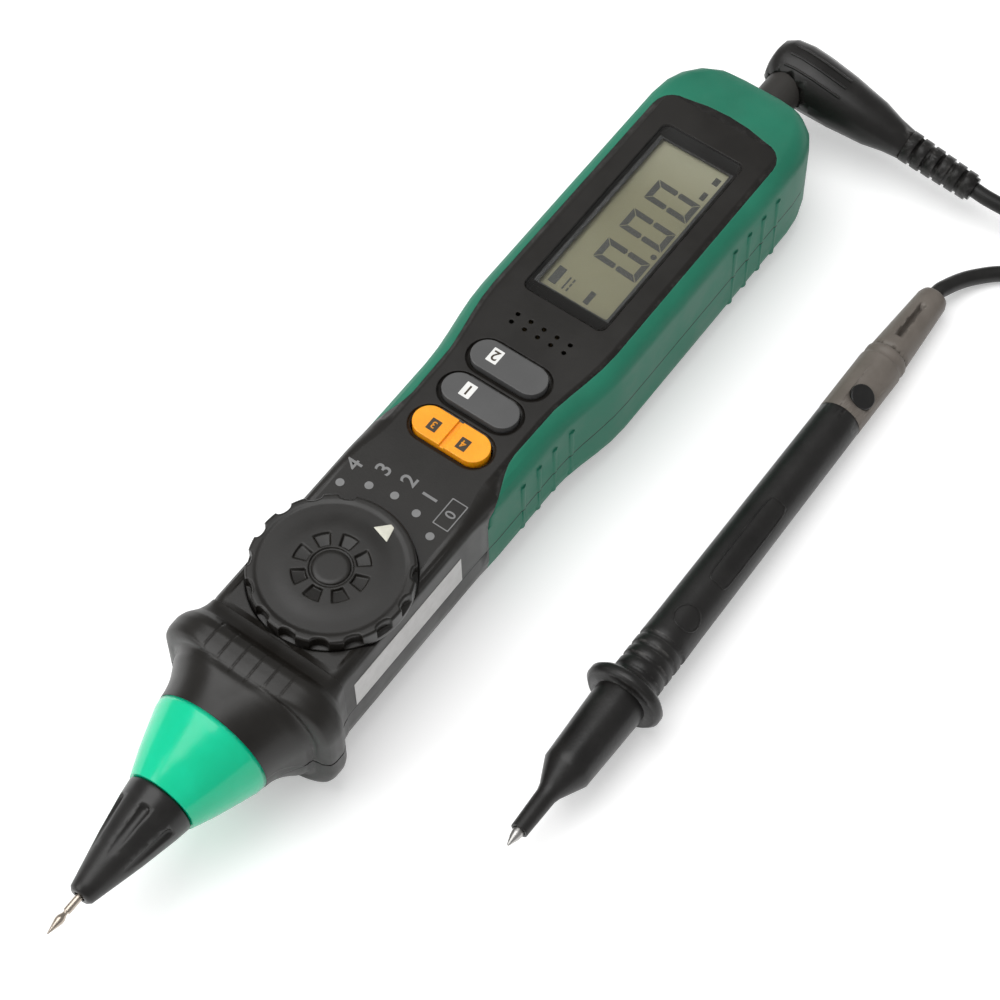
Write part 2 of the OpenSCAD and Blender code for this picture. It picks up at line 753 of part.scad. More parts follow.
module door_outline(gap, z0, z1) {
    rounded_box(bay_x - door_lip - gap, bay_x + bay_l + door_lip + gap, door_half_w + gap,
        1.5 * wall_t, z0, z1);
    rounded_box(bay_x - door_lip - tongue_l - gap, bay_x, tongue_half_w + gap, wall_t, z0, z1);
}

module shell_screw_holes() {
    for (p = shell_places) translate([p[0], p[1], -over]) {
        cylinder(h = shell_seat_z + over, r = shell_head_r + drop_gap, $fn = 32);
        cylinder(h = parting_z + 2 * over, r = shell_screw_r + drop_gap, $fn = 24);
    }
}

module rear_grip() {
    color([0.0, 0.5, 0.36]) difference() {
        union() {
            intersection() {
                outer_form();
                span(grip_x, rear_x + over, -over, parting_z);
            }
            intersection() {
                side_ribs(back_r - 2 * rib_r, parting_z);
                union() {
                    span(grip_x, swell_x + swell_l / 2, front_back_r - 2 * rib_r, parting_z);
                    span(swell_x + swell_l, rear_x, back_r - 2 * rib_r, parting_z);
                }
            }
        }
        core_prism(-2 * over, parting_z + over);
        jack_bores();
        shell_screw_holes();
    }
}

module display_window() {
    color([0.75, 0.8, 0.8, 0.35])
        rounded_box(lens_x0, lens_x1, lens_half, lens_r, panel_z - lens_t, panel_z);
}

module display_cell() {
    color([0.55, 0.57, 0.47])
        translate([window_x - cell_border, -window_w / 2 - cell_side, lcd_z])
            cube([window_l + 2 * cell_border, window_w + 2 * cell_side, lcd_t]);
}

module display_frame() {
    x0 = window_x - cell_border - drop_gap;
    half = window_w / 2 + cell_side + drop_gap;
    color([0.1, 0.1, 0.1]) difference() {
        translate([x0 - frame_t, -half - frame_t, board_top_z])
            cube([window_l + 2 * (cell_border + drop_gap + frame_t), 2 * (half + frame_t),
                lcd_top_z - board_top_z]);
        translate([x0, -half, board_top_z - over])
            cube([window_l + 2 * (cell_border + drop_gap), 2 * half, panel_z]);
    }
}

module contact_strips() {
    color([0.25, 0.25, 0.28]) for (s = [-1, 1])
        translate([window_x, s * (window_w / 2 + cell_side - strip_w) - strip_w / 2, board_top_z])
            cube([window_l, strip_w, lcd_z - board_top_z]);
}

module circuit_board() {
    color([0.05, 0.3, 0.15]) difference() {
        union() {
            side_prism(board_x, cap_x, cavity_inset + near_gap, board_z, board_top_z);
            translate([cap_x - over, -rear_half_w * core_end_shares[1][1] + near_gap, board_z])
                cube([board_end_x - cap_x + over,
                    2 * (rear_half_w * core_end_shares[1][1] - near_gap), board_t]);
        }
        translate([jack_x - jack_base_t - 2 * near_gap, -jack_r - jack_wall - 2 * near_gap, board_z - over])
            cube([cap_l, 2 * (jack_r + jack_wall + 2 * near_gap), board_t + 2 * over]);
        for (p = board_places) translate([p[0], p[1], board_z - over])
            cylinder(h = board_t + 2 * over, r = board_screw_r + drop_gap, $fn = 24);
    }
}

module main_chip() {
    chip_s = 13;
    chip_t = 1.4;
    color([0.06, 0.06, 0.06]) translate([window_x + window_l / 2, 0, board_z - chip_t / 2])
        cube([chip_s, chip_s, chip_t], center = true);
}

// Small parts soldered under the board: resistors, capacitors and a crystal can
module board_parts() {
    part_l = 3.2;
    part_w = 1.6;
    part_t = 0.8;
    can_r = 1.5;
    can_l = 7;
    color([0.55, 0.45, 0.3]) {
        for (i = [0 : 5], s = [-1, 1])
            translate([swell_x + i * 2 * part_l, s * 4 * part_w, board_z - part_t])
                cube([part_l, part_w, part_t]);
        rod_x(rocker_x, rocker_x + can_l, can_r, waist_half_w / 2, board_z - can_r);
        translate([board_x + 5 * boss_r, -waist_half_w / 2, board_z - 3 * part_l])
            cylinder(h = 3 * part_l, r = part_l);
    }
}

module button_switches() {
    color([0.2, 0.2, 0.22]) difference() {
        union() {
            for (x = [max_x, func_x]) translate([x - switch_s / 2, -switch_s / 2, board_top_z])
                cube([switch_s, switch_s, switch_t]);
            for (s = [-1, 1]) translate([rocker_x - rocker_switch_s / 2,
                s * rocker_stem_at - rocker_switch_s / 2, board_top_z])
                cube([rocker_switch_s, rocker_switch_s, switch_t]);
        }
        for (x = [max_x, func_x]) translate([x, 0, board_top_z + near_gap])
            cylinder(h = switch_t + over, r = stem_r + drop_gap);
        for (s = [-1, 1]) translate([rocker_x, s * rocker_stem_at, board_top_z + near_gap])
            cylinder(h = switch_t + over, r = rocker_stem_r + 2 * near_gap);
    }
}

module buzzer_disc() {
    color([0.75, 0.6, 0.3]) translate([buzzer_x, 0, underside_z - buzzer_t])
        cylinder(h = buzzer_t, r = buzzer_r);
}

// A button cap with its retaining flange and stem; it moves straight down
module button(x) {
    translate([x, 0, 0]) {
        stadium(button_w, button_l, underside_z - flange_gap - flange_t, button_top_z);
        stadium(button_w + 2 * flange_w, button_l + 2 * flange_w,
            underside_z - flange_gap - flange_t, underside_z - flange_gap);
        translate([0, 0, stem_foot_z])
            cylinder(h = underside_z - flange_gap - stem_foot_z, r = stem_r);
    }
}

module func_button() {
    color([0.33, 0.34, 0.36]) button(func_x);
}

module max_button() {
    color([0.33, 0.34, 0.36]) button(max_x);
}

// The two-ended rocker with its trunnions, stems and middle groove
module range_rocker() {
    groove_w = 1;
    groove_t = 0.5;
    color([0.95, 0.6, 0.08]) difference() {
        translate([rocker_x, 0, 0]) {
            stadium(button_w, button_l, rocker_flange_z - flange_t, button_top_z);
            stadium(button_w + 2 * flange_w, button_l - flange_w,
                rocker_flange_z - flange_t, rocker_flange_z);
            rod_x(-ear_at - ear_t + near_gap, ear_at + ear_t - near_gap, trunnion_r, 0, rocker_axis_z);
            for (s = [-1, 1]) translate([0, s * rocker_stem_at, stem_foot_z])
                cylinder(h = rocker_flange_z - stem_foot_z, r = rocker_stem_r);
        }
        translate([rocker_x - button_w, -groove_w / 2, button_top_z - groove_t])
            cube([2 * button_w, groove_w, groove_t + over]);
    }
}

// The dial: scalloped disc, hub through the panel, raised boss and sector petals
module selector_dial() {
    translate([dial_x, 0, 0]) rotate([0, 0, dial_rest_deg]) {
        color([0.08, 0.08, 0.085]) difference() {
            union() {
                translate([0, 0, dial_z]) cylinder(h = dial_t, r = dial_r, $fn = 96);
                translate([0, 0, rotor_top_z]) cylinder(h = dial_z - rotor_top_z + over, r = hub_r);
            }
            for (i = [-scallops : scallops]) rotate([0, 0, 180 + i * scallop_deg])
                translate([dial_r + scallop_r * 0.55, 0, dial_z - over])
                    cylinder(h = dial_t + 2 * over, r = scallop_r, $fn = 24);
            for (i = [0 : petals - 1]) rotate([0, 0, i * 360 / petals])
                translate([0, 0, dial_top_z - relief_t]) petal(relief_t + over);
            translate([0, 0, dial_top_z - relief_t]) difference() {
                cylinder(h = relief_t + over, r = dial_boss_r + near_gap);
                translate([0, 0, -over]) cylinder(h = relief_t + 3 * over, r = dial_boss_r);
            }
            translate([0, 0, rotor_z - over])
                cylinder(h = dial_screw_l - dial_head_t + over + drop_gap,
                    r = dial_screw_r + run_gap / 2, $fn = 24);
        }
        color("white") translate([pointer_r - pointer_l, 0, dial_top_z - over]) linear_extrude(over)
            polygon([[0, -pointer_half_w], [pointer_l, 0], [0, pointer_half_w]]);
    }
}

module petal(h) {
    half_deg = 14;
    linear_extrude(h) polygon(concat(
        [for (a = [-half_deg : half_deg : half_deg]) petal_in_r * [cos(a), sin(a)]],
        [for (a = [half_deg : -half_deg / 2 : -half_deg]) petal_out_r * [cos(a), sin(a)]]));
}

// Contact rotor under the panel, with detent notches round its rim
module contact_rotor() {
    notch_r = 0.5;
    color([0.85, 0.82, 0.75]) translate([dial_x, 0, rotor_z]) difference() {
        cylinder(h = rotor_t, r = rotor_r);
        translate([0, 0, -over]) cylinder(h = rotor_t + 2 * over, r = dial_screw_r + run_gap, $fn = 24);
        for (i = [-3 : 1]) rotate([0, 0, i * dial_step_deg + 90])
            translate([rotor_r + notch_r / 2, 0, -over])
                cylinder(h = rotor_t + 2 * over, r = notch_r, $fn = 16);
    }
}

module rotor_wipers() {
    color([0.8, 0.62, 0.3]) translate([dial_x, 0, board_top_z + run_gap])
        for (a = [dial_rest_deg : 120 : dial_rest_deg + 240]) rotate([0, 0, a])
            translate([wiper_at - wiper_l / 2, -wiper_w / 2, 0])
                cube([wiper_l, wiper_w, rotor_z - board_top_z - run_gap]);
}

module dial_screw() {
    color([0.7, 0.7, 0.72]) translate([dial_x, 0, rotor_z - dial_head_t]) {
        cylinder(h = dial_head_t, r = dial_head_r);
        cylinder(h = dial_screw_l, r = dial_screw_r, $fn = 24);
    }
}

// Leaf spring whose nose stands at the rotor's rim
module detent_spring() {
    y0 = front_half_w - cavity_inset;
    leaf_t = 0.3;
    half_l = 6;
    nose_l = 1.5;
    nose_y = rotor_r + drop_gap;
    color([0.75, 0.75, 0.77]) translate([dial_x, 0, rotor_z + near_gap])
        linear_extrude(rotor_t - 2 * near_gap)
            polygon([[-half_l, y0], [-half_l, y0 - leaf_t], [-nose_l, y0 - leaf_t],
                [0, nose_y], [nose_l, y0 - leaf_t], [half_l, y0 - leaf_t], [half_l, y0]]);
}

// The green light ring: a bell-shaped tube with a neck inside the shells
module light_ring() {
    bell_shares = [[0, 0], [0.1, 0.13], [0.35, 0.42], [0.65, 0.72], [0.88, 0.94], [1, 1]];
    color([0.1, 0.85, 0.55, 0.6]) along_x(ring_front_x, 0, nose_z) rotate_extrude()
        polygon(concat(
            [for (s = bell_shares) [mix(ring_front_r, ring_r, s[1]), ring_l * s[0]]],
            [[ring_neck_r, ring_l], [ring_neck_r, ring_l + ring_neck_l],
            [ring_in_r, ring_l + ring_neck_l], [ring_in_r, ring_bearing_l + ring_front_r / 2],
            [sleeve_r + run_gap, ring_bearing_l], [sleeve_r + run_gap, 0]]));
}

module ring_lamp() {
    color([0.9, 0.95, 0.9]) rod_x(guide_x - lamp_l, guide_x, lamp_r, 0, nose_z + lamp_off);
}

// Fixed guide with a square hole that keeps the pin from turning
module pin_guide() {
    color([0.8, 0.78, 0.72]) difference() {
        rod_x(guide_x, guide_x + guide_t, nose_bore_r - drop_gap, 0, nose_z);
        translate([guide_x - over, -tail_s / 2 - run_gap, nose_z - tail_s / 2 - run_gap])
            cube([guide_t + 2 * over, tail_s + 2 * run_gap, tail_s + 2 * run_gap]);
    }
}

// The turning nose cone with finger flutes and a cam sleeve behind it
cone_gap = 0.1;
flute_r = 1.15;
flutes = 6;
flute_deg = 8;
// Shares of the cone's length where a flute starts and ends, and its greatest depth
flute_from = 0.3;
flute_to = 0.78;
flute_depth = 0.65;
flute_l = cone_l * (flute_to - flute_from);
module nose_cone() {
    lip = 0.5;
    pin_hole_r = pin_r + 0.4;
    color([0.09, 0.09, 0.095]) difference() {
        along_x(cone_x, 0, nose_z) rotate_extrude() polygon([
            [pin_hole_r, 0], [cone_tip_r - lip, 0], [cone_tip_r, lip],
            [mix(cone_tip_r, cone_r, 0.56), cone_l * 0.5], [mix(cone_tip_r, cone_r, 0.9), cone_l * 0.84],
            [cone_r, cone_l - lip], [cone_r - lip / 2, cone_l - cone_gap],
            [sleeve_r, cone_l - cone_gap], [sleeve_r, cone_l + sleeve_l],
            [sleeve_in_r, cone_l + sleeve_l], [sleeve_in_r, cone_l], [pin_hole_r, cone_l]]);
        for (i = [0 : flutes - 1]) rotate_nose(flute_deg + i * 360 / flutes)
            flute_cut(mix(cone_tip_r, cone_r, 0.34) + flute_r,
                mix(cone_tip_r, cone_r, 0.85) + flute_r - flute_depth);
        cam_slot();
    }
}

// One finger flute: a round-ended rod that sinks into the cone towards the ring
module flute_cut(r0, r1) {
    translate([cone_x + cone_l * flute_from, 0, nose_z + r0])
        rotate([0, 90 - atan((r1 - r0) / flute_l), 0]) {
            cylinder(h = flute_l, r = flute_r, $fn = 32);
            translate([0, 0, flute_l]) sphere(r = flute_r, $fn = 32);
        }
}

module rotate_nose(a) {
    translate([0, 0, nose_z]) rotate([a, 0, 0]) translate([0, 0, -nose_z]) children();
}

// The helical slot in the sleeve: half a turn over the pin's travel
module cam_slot() {
    h = pin_travel + 2 * slot_over;
    deg = 180 * h / pin_travel;
    along_x(peg_x - slot_over, 0, nose_z)
        rotate([0, 0, 180 * slot_over / pin_travel + 180])
            linear_extrude(h, twist = deg, slices = 30, segments = 4)
                polygon([[sleeve_in_r - near_gap, -sleeve_in_r * tan(slot_half_deg)],
                    [sleeve_r + near_gap, -sleeve_r * tan(slot_half_deg)],
                    [sleeve_r + near_gap, sleeve_r * tan(slot_half_deg)],
                    [sleeve_in_r - near_gap, sleeve_in_r * tan(slot_half_deg)]]);
}

// The probe pin: arrow point, neck, round shaft and square tail
module probe_pin() {
    point_r = pin_r * 1.15;
    neck_pin_r = pin_r * 0.6;
    color([0.82, 0.8, 0.75]) {
        along_x(tip_x, 0, nose_z) rotate_extrude($fn = 32) polygon([[0, 0], [pin_r / 6, 0],
            [point_r, pin_out * 0.34], [point_r, pin_out * 0.42], [neck_pin_r, pin_out * 0.54],
            [neck_pin_r, pin_out * 0.58], [pin_r, pin_out * 0.6],
            [pin_r, carrier_x + carrier_l - tip_x + over], [0, carrier_x + carrier_l - tip_x + over]]);
        translate([carrier_x + carrier_l, -tail_s / 2, nose_z - tail_s / 2])
            cube([tail_l, tail_s, tail_s]);
    }
}

module pin_carrier() {
    color([0.85, 0.83, 0.78]) difference() {
        union() {
            rod_x(carrier_x, carrier_x + carrier_l, sleeve_in_r - run_gap, 0, nose_z);
            translate([peg_x, 0, nose_z]) cylinder(h = sleeve_r - drop_gap, r = peg_r, $fn = 32);
        }
        rod_x(carrier_x - over, carrier_x + carrier_l + over, pin_r + run_gap / 2, 0, nose_z);
    }
}

// Leaf that wipes along the pin's tail and rises to the board
module pin_contact() {
    leaf_t = 0.3;
    x0 = guide_x + guide_t + near_gap;
    z0 = nose_z - tail_s / 2 - run_gap - leaf_t;
    color([0.8, 0.62, 0.3]) {
        translate([x0, -over, z0]) cube([board_x + over - x0, 2 * over, leaf_t]);
        translate([board_x + over, -over, z0]) cube([leaf_t, 2 * over, board_z - z0]);
    }
}

// A dry cell with its nub; s is 1 with the nub to the rear, -1 with it to the front
module cell(y, s) {
    x0 = bay_x + (s > 0 ? spring_l : nub_l + 2 * near_gap);
    along_x(x0, y, cell_z) cylinder(h = cell_l, r = cell_d / 2);
    along_x(s > 0 ? x0 + cell_l - over : x0 - nub_l, y, cell_z) cylinder(h = nub_l + over, r = nub_r);
}

module battery_a() {
    color([0.2, 0.35, 0.6]) cell(cell_y, 1);
}

module battery_b() {
    color([0.2, 0.35, 0.6]) cell(-cell_y, -1);
}

// Plates and conical springs at both ends of the bay
module battery_contacts() {
    plate_t = 0.4;
    plate_h = cell_d * 0.7;
    bridge_w = cell_d * 0.8;
    color([0.8, 0.8, 0.8]) for (e = [0, 1]) {
        x0 = e == 0 ? bay_x : bay_x + bay_l - plate_t;
        for (s = [-1, 1]) translate([x0, s * cell_y - bridge_w / 2, cell_z - plate_h / 2])
            cube([plate_t, bridge_w, plate_h]);
    }
    color([0.8, 0.8, 0.8]) {
        along_x(bay_x, cell_y, cell_z) cylinder(h = spring_l - drop_gap, r1 = cell_d * 0.36, r2 = nub_r);
        translate([bay_x + bay_l, -cell_y, cell_z]) rotate([0, -90, 0])
            cylinder(h = spring_l - drop_gap, r1 = cell_d * 0.36, r2 = nub_r);
    }
}

module battery_door() {
    color([0.07, 0.07, 0.075]) difference() {
        intersection() {
            outer_form();
            door_outline(0, -over, door_t);
        }
        translate([door_screw_x, 0, -over]) {
            cylinder(h = door_head_t + over, r = door_head_r + drop_gap, $fn = 32);
            cylinder(h = door_t + 2 * over, r = door_screw_r + drop_gap, $fn = 24);
        }
    }
}

module door_screw() {
    color([0.6, 0.6, 0.62]) translate([door_screw_x, 0, 0]) {
        cylinder(h = door_head_t, r = door_head_r, $fn = 32);
        cylinder(h = door_screw_l + door_t / 2, r = door_screw_r, $fn = 24);
    }
}

module fuse_tube() {
    color([0.8, 0.85, 0.85, 0.5]) rod_x(fuse_x + fuse_cap_l, fuse_x + fuse_l - fuse_cap_l,
        fuse_r - 2 * run_gap, 0, fuse_z);
}

module fuse_caps() {
    color([0.8, 0.8, 0.8]) for (x = [fuse_x, fuse_x + fuse_l - fuse_cap_l])
        rod_x(x, x + fuse_cap_l, fuse_r, 0, fuse_z);
}

// Sprung clips that hold the fuse under the board
module fuse_clips() {
    half = fuse_r + clip_t + run_gap;
    color([0.8, 0.7, 0.45]) for (x = [fuse_x, fuse_x + fuse_l - fuse_cap_l])
        difference() {
            translate([x + (fuse_cap_l - clip_l) / 2, -half, fuse_z - fuse_r / 2])
                cube([clip_l, 2 * half, board_z - fuse_z + fuse_r / 2]);
            rod_x(x - over, x + fuse_cap_l + over, fuse_r + run_gap, 0, fuse_z);
        }
}

// The insulating body of the jack: base, outer tube and middle post
module jack_body() {
    color([0.12, 0.12, 0.12]) along_x(jack_x - jack_base_t, 0, jack_z) rotate_extrude()
        polygon([[brass_r + run_gap / 2, 0], [jack_r + jack_wall, 0],
            [jack_r + jack_wall, cavity_end_x - jack_x + jack_base_t],
            [jack_r, cavity_end_x - jack_x + jack_base_t], [jack_r, jack_base_t],
            [post_r, jack_base_t], [post_r, jack_base_t + jack_depth - post_in],
            [brass_r + run_gap / 2, jack_base_t + jack_depth - post_in]]);
}

module jack_contact() {
    lead_out = 1.5;
    color([0.8, 0.62, 0.3]) difference() {
        rod_x(jack_x - jack_base_t - lead_out, jack_x + jack_depth - post_in - near_gap, brass_r, 0, jack_z);
        rod_x(jack_x - jack_base_t, jack_x + jack_depth, socket_r, 0, jack_z);
    }
}

module shell_screws() {
    color([0.6, 0.6, 0.62]) for (p = shell_places) translate([p[0], p[1], shell_seat_z]) {
        translate([0, 0, -shell_head_t]) cylinder(h = shell_head_t, r = shell_head_r, $fn = 32);
        cylinder(h = shell_screw_l, r = shell_screw_r, $fn = 24);
    }
}

module board_screws() {
    color([0.6, 0.6, 0.62]) for (p = board_places) translate([p[0], p[1], board_z]) {
        translate([0, 0, -board_head_t]) cylinder(h = board_head_t, r = board_head_r, $fn = 32);
        cylinder(h = board_screw_l, r = board_screw_r, $fn = 24);
    }
}

// The test lead's plug: pin, shroud, right-angled arm and strain relief
arm_x = rear_x + shroud_out + arm_r;
arm_face_x = arm_x - arm_r;
module plug_pin() {
    color([0.85, 0.75, 0.45]) rod_x(jack_x + near_gap, arm_x, plug_r, 0, jack_z);
}

module plug_shroud() {
    color([0.07, 0.07, 0.07]) difference() {
        rod_x(rear_x - shroud_in, arm_face_x + post_in, shroud_r, 0, jack_z);
        rod_x(rear_x - shroud_in - over, arm_face_x, shroud_r - shroud_t, 0, jack_z);
        rod_x(rear_x, arm_face_x + post_in + over, plug_r + run_gap / 2, 0, jack_z);
    }
}

// Arm sections: share of the length and share of the radius
arm_shares = [[-0.22, 0.45], [-0.2, 0.7], [-0.13, 0.9], [0, 1], [0.16, 1], [0.4, 0.93],
    [0.56, 0.84], [0.7, 0.77], [0.86, 0.6], [1, 0.51]];
arm_sides = 16;
arm_end_r = arm_r * arm_shares[9][1];

// Lays a shape drawn round the jack's end, with the arm along -Y, at the arm's droop
module at_plug() {
    translate([arm_x, 0, jack_z]) rotate([arm_droop, 0, 0]) children();
}

module plug_body() {
    color([0.05, 0.05, 0.05]) difference() {
        at_plug() skin([for (s = arm_shares) [for (i = [0 : arm_sides - 1])
            [arm_r * s[1] * cos(360 * (i + 0.5) / arm_sides), -arm_l * s[0],
            arm_r * s[1] * sin(360 * (i + 0.5) / arm_sides)]]]);
        rod_x(arm_face_x - over, arm_face_x + post_in, shroud_r + run_gap / 2, 0, jack_z);
        rod_x(arm_face_x - over, arm_x, plug_r + run_gap / 2, 0, jack_z);
        translate([arm_face_x - over - arm_r, -arm_r, jack_z - arm_r])
            cube([arm_r + over + near_gap, 2 * arm_r, 2 * arm_r]);
    }
}

// Slotted strain relief in line with the arm
relief_front_r = arm_end_r + 0.1;
relief_back_r = 2.8;
relief_groove = 0.45;
relief_ribs = 6;
module plug_relief() {
    step = relief_l / relief_ribs;
    slot_t = step * 0.3;
    color([0.05, 0.05, 0.05]) at_plug() translate([0, -arm_l, 0]) rotate([90, 0, 0])
        difference() {
            rotate_extrude() polygon(concat([[0, 0]],
                [for (i = [0 : relief_ribs - 1]) each let (
                    r = mix(relief_front_r, relief_back_r, i / (relief_ribs - 1)))
                    [[r, i * step], [r, (i + 1) * step - slot_t],
                    [r - relief_groove, (i + 1) * step - slot_t],
                    [r - relief_groove, i < relief_ribs - 1 ? (i + 1) * step : relief_l]]],
                [[0, relief_l]]));
            for (i = [1 : relief_ribs - 1], a = [0, 180]) rotate([0, 0, a + 90 * (i % 2)])
                translate([lead_r + near_gap, -arm_end_r, i * step - slot_t])
                    cube([arm_end_r, 2 * arm_end_r, slot_t]);
        }
}

// Where the probe lies: the middle of its guard, and the axis that tilts down behind it
probe_x = -10.5;
probe_y = -47.95;
probe_z = flange_r + run_gap;
flange_half_t = 1.3;
collar_at = handle_l + flange_half_t;
boot_at = collar_at + collar_l;
cord_at = boot_at + boot_l;
probe_dir = [cos(probe_tilt) * cos(probe_yaw), cos(probe_tilt) * sin(probe_yaw), -sin(probe_tilt)];

// The lead's coil: centre, turns, radius and height at a turn counted from its start
coil_x = 140;
coil_y = -80;
coil_start_deg = 200;
coil_turns = 7 + 250 / 360;
lead_r = lead_d / 2;
lie_z = lead_r + 0.05;
function reversal(d) = abs(d) > 0.25 ? abs(d) : d * d * 2 + 0.125;
function coil_place(n) = let (d = n - coil_turns / 2, a = coil_start_deg + 360 * n,
    r = coil_r - coil_pitch * (coil_turns / 2 - reversal(d)))
    [coil_x + r * cos(a), coil_y + r * sin(a), lie_z + coil_pitch * smooth(2 * d + 0.5)];
coil_steps = 24 * 8;
coil_core = [for (i = [0 : coil_steps]) coil_place(coil_turns * i / coil_steps)];
function unit(v) = v / norm(v);
coil_in_dir = unit(coil_core[1] - coil_core[0]);
coil_out_dir = unit(coil_core[coil_steps] - coil_core[coil_steps - 1]);
coil_in = coil_core[0] - coil_in_dir * lead_d;
coil_out = coil_core[coil_steps] + coil_out_dir * lead_d;

// Routes of the lead from the plug to the coil and from the probe to the coil
plug_dir = [0, -cos(arm_droop), -sin(arm_droop)];
plug_end = [arm_x, 0, jack_z] + plug_dir * (arm_l + relief_l);
plug_route = concat([plug_end, plug_end + plug_dir * lead_d], [[118.9, -50.4, 6.4], [122.4, -54, 5.9],
    [127.2, -55.7, 5.4]], [coil_out + coil_out_dir * 2 * lead_d, coil_out]);
probe_end = [probe_x, probe_y, probe_z] + probe_dir * cord_at;
probe_route = concat([probe_end, probe_end + probe_dir * lead_r],
    [[98.1, -47.1, 3.45], [100.4, -47.9, 2.9], [102.7, -49, 2.4], [104.9, -50.5, 2],
    [107, -52.3, 1.75], [108.9, -54.6, 1.6], [110.4, -57.6, 1.6], [111.3, -61.4, 1.6],
    [111.9, -67.4, 1.6], [112.4, -74, 1.6]],
    [coil_in - coil_in_dir * lead_d * 2, coil_in]);

// Tube of a given radius and number of sides along a list of points
module tube(points, r, sides) {
    m = len(points);
    skin([for (k = [0 : m - 1]) let (
        d = unit(points[min(k + 1, m - 1)] - points[max(k - 1, 0)]),
        side = unit(cross(d, [0, 0, 1])), up = cross(side, d))
        [for (i = [0 : sides - 1]) points[k]
            + r * (side * cos(360 * i / sides) - up * sin(360 * i / sides))]]);
}

// Least distance between two stretches of the coil that lie at least half a turn apart
coil_gap = min([for (i = [0 : 2 : coil_steps], j = [i + 12 : coil_steps])
    norm(coil_core[i] - coil_core[j])]) - lead_d;

module lead_plug_run() {
    color([0.06, 0.06, 0.06]) tube(plug_route, lead_r, 8);
}

module lead_coil() {
    echo(coil_gap = coil_gap);
    color([0.06, 0.06, 0.06]) tube(concat([coil_in], coil_core, [coil_out]), lead_r, 6);
}

module lead_probe_run() {
    color([0.06, 0.06, 0.06]) tube(probe_route, lead_r, 8);
}

// Lays a shape drawn along Z on the probe's axis, with Z towards the cord
module at_probe() {
    translate([probe_x, probe_y, probe_z]) rotate([0, 90 + probe_tilt, probe_yaw]) children();
}

// The probe's handle with its guard, ringed neck and front spigot
spigot_r = 3.2;
spigot_l = 9;
neck_ring_r = handle_r + 0.1;
neck_low_r = neck_ring_r - 0.35;
neck_ring_l = 2.6;
needle_in = 18;
handle_back_r = handle_r - 0.25;
collar_r = handle_back_r + 0.05;
module probe_handle() {
    rim = flange_half_t * 0.6;
    n0 = flange_half_t;
    color([0.06, 0.06, 0.06]) at_probe() rotate_extrude() polygon(concat(
        [[0, needle_in], [needle_r + run_gap / 2, needle_in], [needle_r + run_gap / 2, -spigot_l],
        [spigot_r, -spigot_l], [spigot_r, -n0], [flange_r - rim, -n0], [flange_r, -n0 + rim],
        [flange_r, n0 - rim], [flange_r - rim, n0], [neck_ring_r, n0]],
        [for (i = [0 : 3]) each let (z = n0 + i * neck_ring_l) [[neck_ring_r, z + neck_ring_l * 0.5],
            [neck_low_r, z + neck_ring_l * 0.65], [neck_low_r, z + neck_ring_l * 0.95],
            [neck_ring_r, z + neck_ring_l]]],
        [[handle_r, n0 + 6 * neck_ring_l], [handle_back_r, collar_at], [0, collar_at]]));
}

module probe_needle() {
    tip_l = 2.6;
    tip_at = -flange_half_t - cap_len - run_gap - needle_out;
    color([0.82, 0.8, 0.75]) at_probe() rotate_extrude() polygon([[0, tip_at],
        [needle_r / 5, tip_at], [needle_r * 0.85, tip_at + tip_l * 0.7], [needle_r, tip_at + tip_l],
        [needle_r, needle_in], [0, needle_in]]);
}

// The removable cap over the spigot: barrel, cone and slender tube
module probe_cap() {
    cap_front_r = cap_back_r - 0.5;
    tube_back_r = 1.85;
    tube_front_r = 1.6;
    z0 = -flange_half_t - run_gap;
    color([0.06, 0.06, 0.06]) at_probe() rotate_extrude() polygon([
        [needle_r + near_gap / 2, z0 - cap_len], [tube_front_r, z0 - cap_len],
        [tube_back_r, z0 - cap_len * 0.74], [tube_back_r + 0.3, z0 - cap_len * 0.7],
        [cap_front_r, z0 - cap_len * 0.54], [cap_back_r, z0 - cap_len * 0.06],
        [cap_back_r, z0], [spigot_r + run_gap, z0], [spigot_r + run_gap, -spigot_l - near_gap],
        [needle_r + near_gap / 2, -spigot_l - near_gap]]);
}

// Badge disc set in the collar's upper side
badge_r = 2.5;
badge_z = collar_at + collar_l * 0.26;
badge_turn = 26;
module probe_collar() {
    groove = 0.25;
    bead_r = collar_r - groove / 2;
    color([0.42, 0.4, 0.37]) difference() {
        at_probe() rotate_extrude() polygon([[0, collar_at], [collar_r, collar_at],
            [collar_r, collar_at + collar_l * 0.84], [bead_r - groove, collar_at + collar_l * 0.86],
            [bead_r - groove, collar_at + collar_l * 0.91], [bead_r, collar_at + collar_l * 0.93],
            [bead_r, collar_at + collar_l * 0.98], [bead_r - groove, collar_at + collar_l],
            [0, collar_at + collar_l]]);
        at_probe() rotate([0, 0, badge_turn]) translate([-collar_r / 2, 0, badge_z])
            rotate([0, -90, 0]) cylinder(h = collar_r, r = badge_r, $fn = 32);
    }
}

module probe_badge() {
    color([0.05, 0.05, 0.05]) at_probe() rotate([0, 0, badge_turn])
        translate([-collar_r / 2, 0, badge_z]) rotate([0, -90, 0])
            cylinder(h = collar_r / 2 + run_gap, r = badge_r - run_gap / 2, $fn = 32);
}

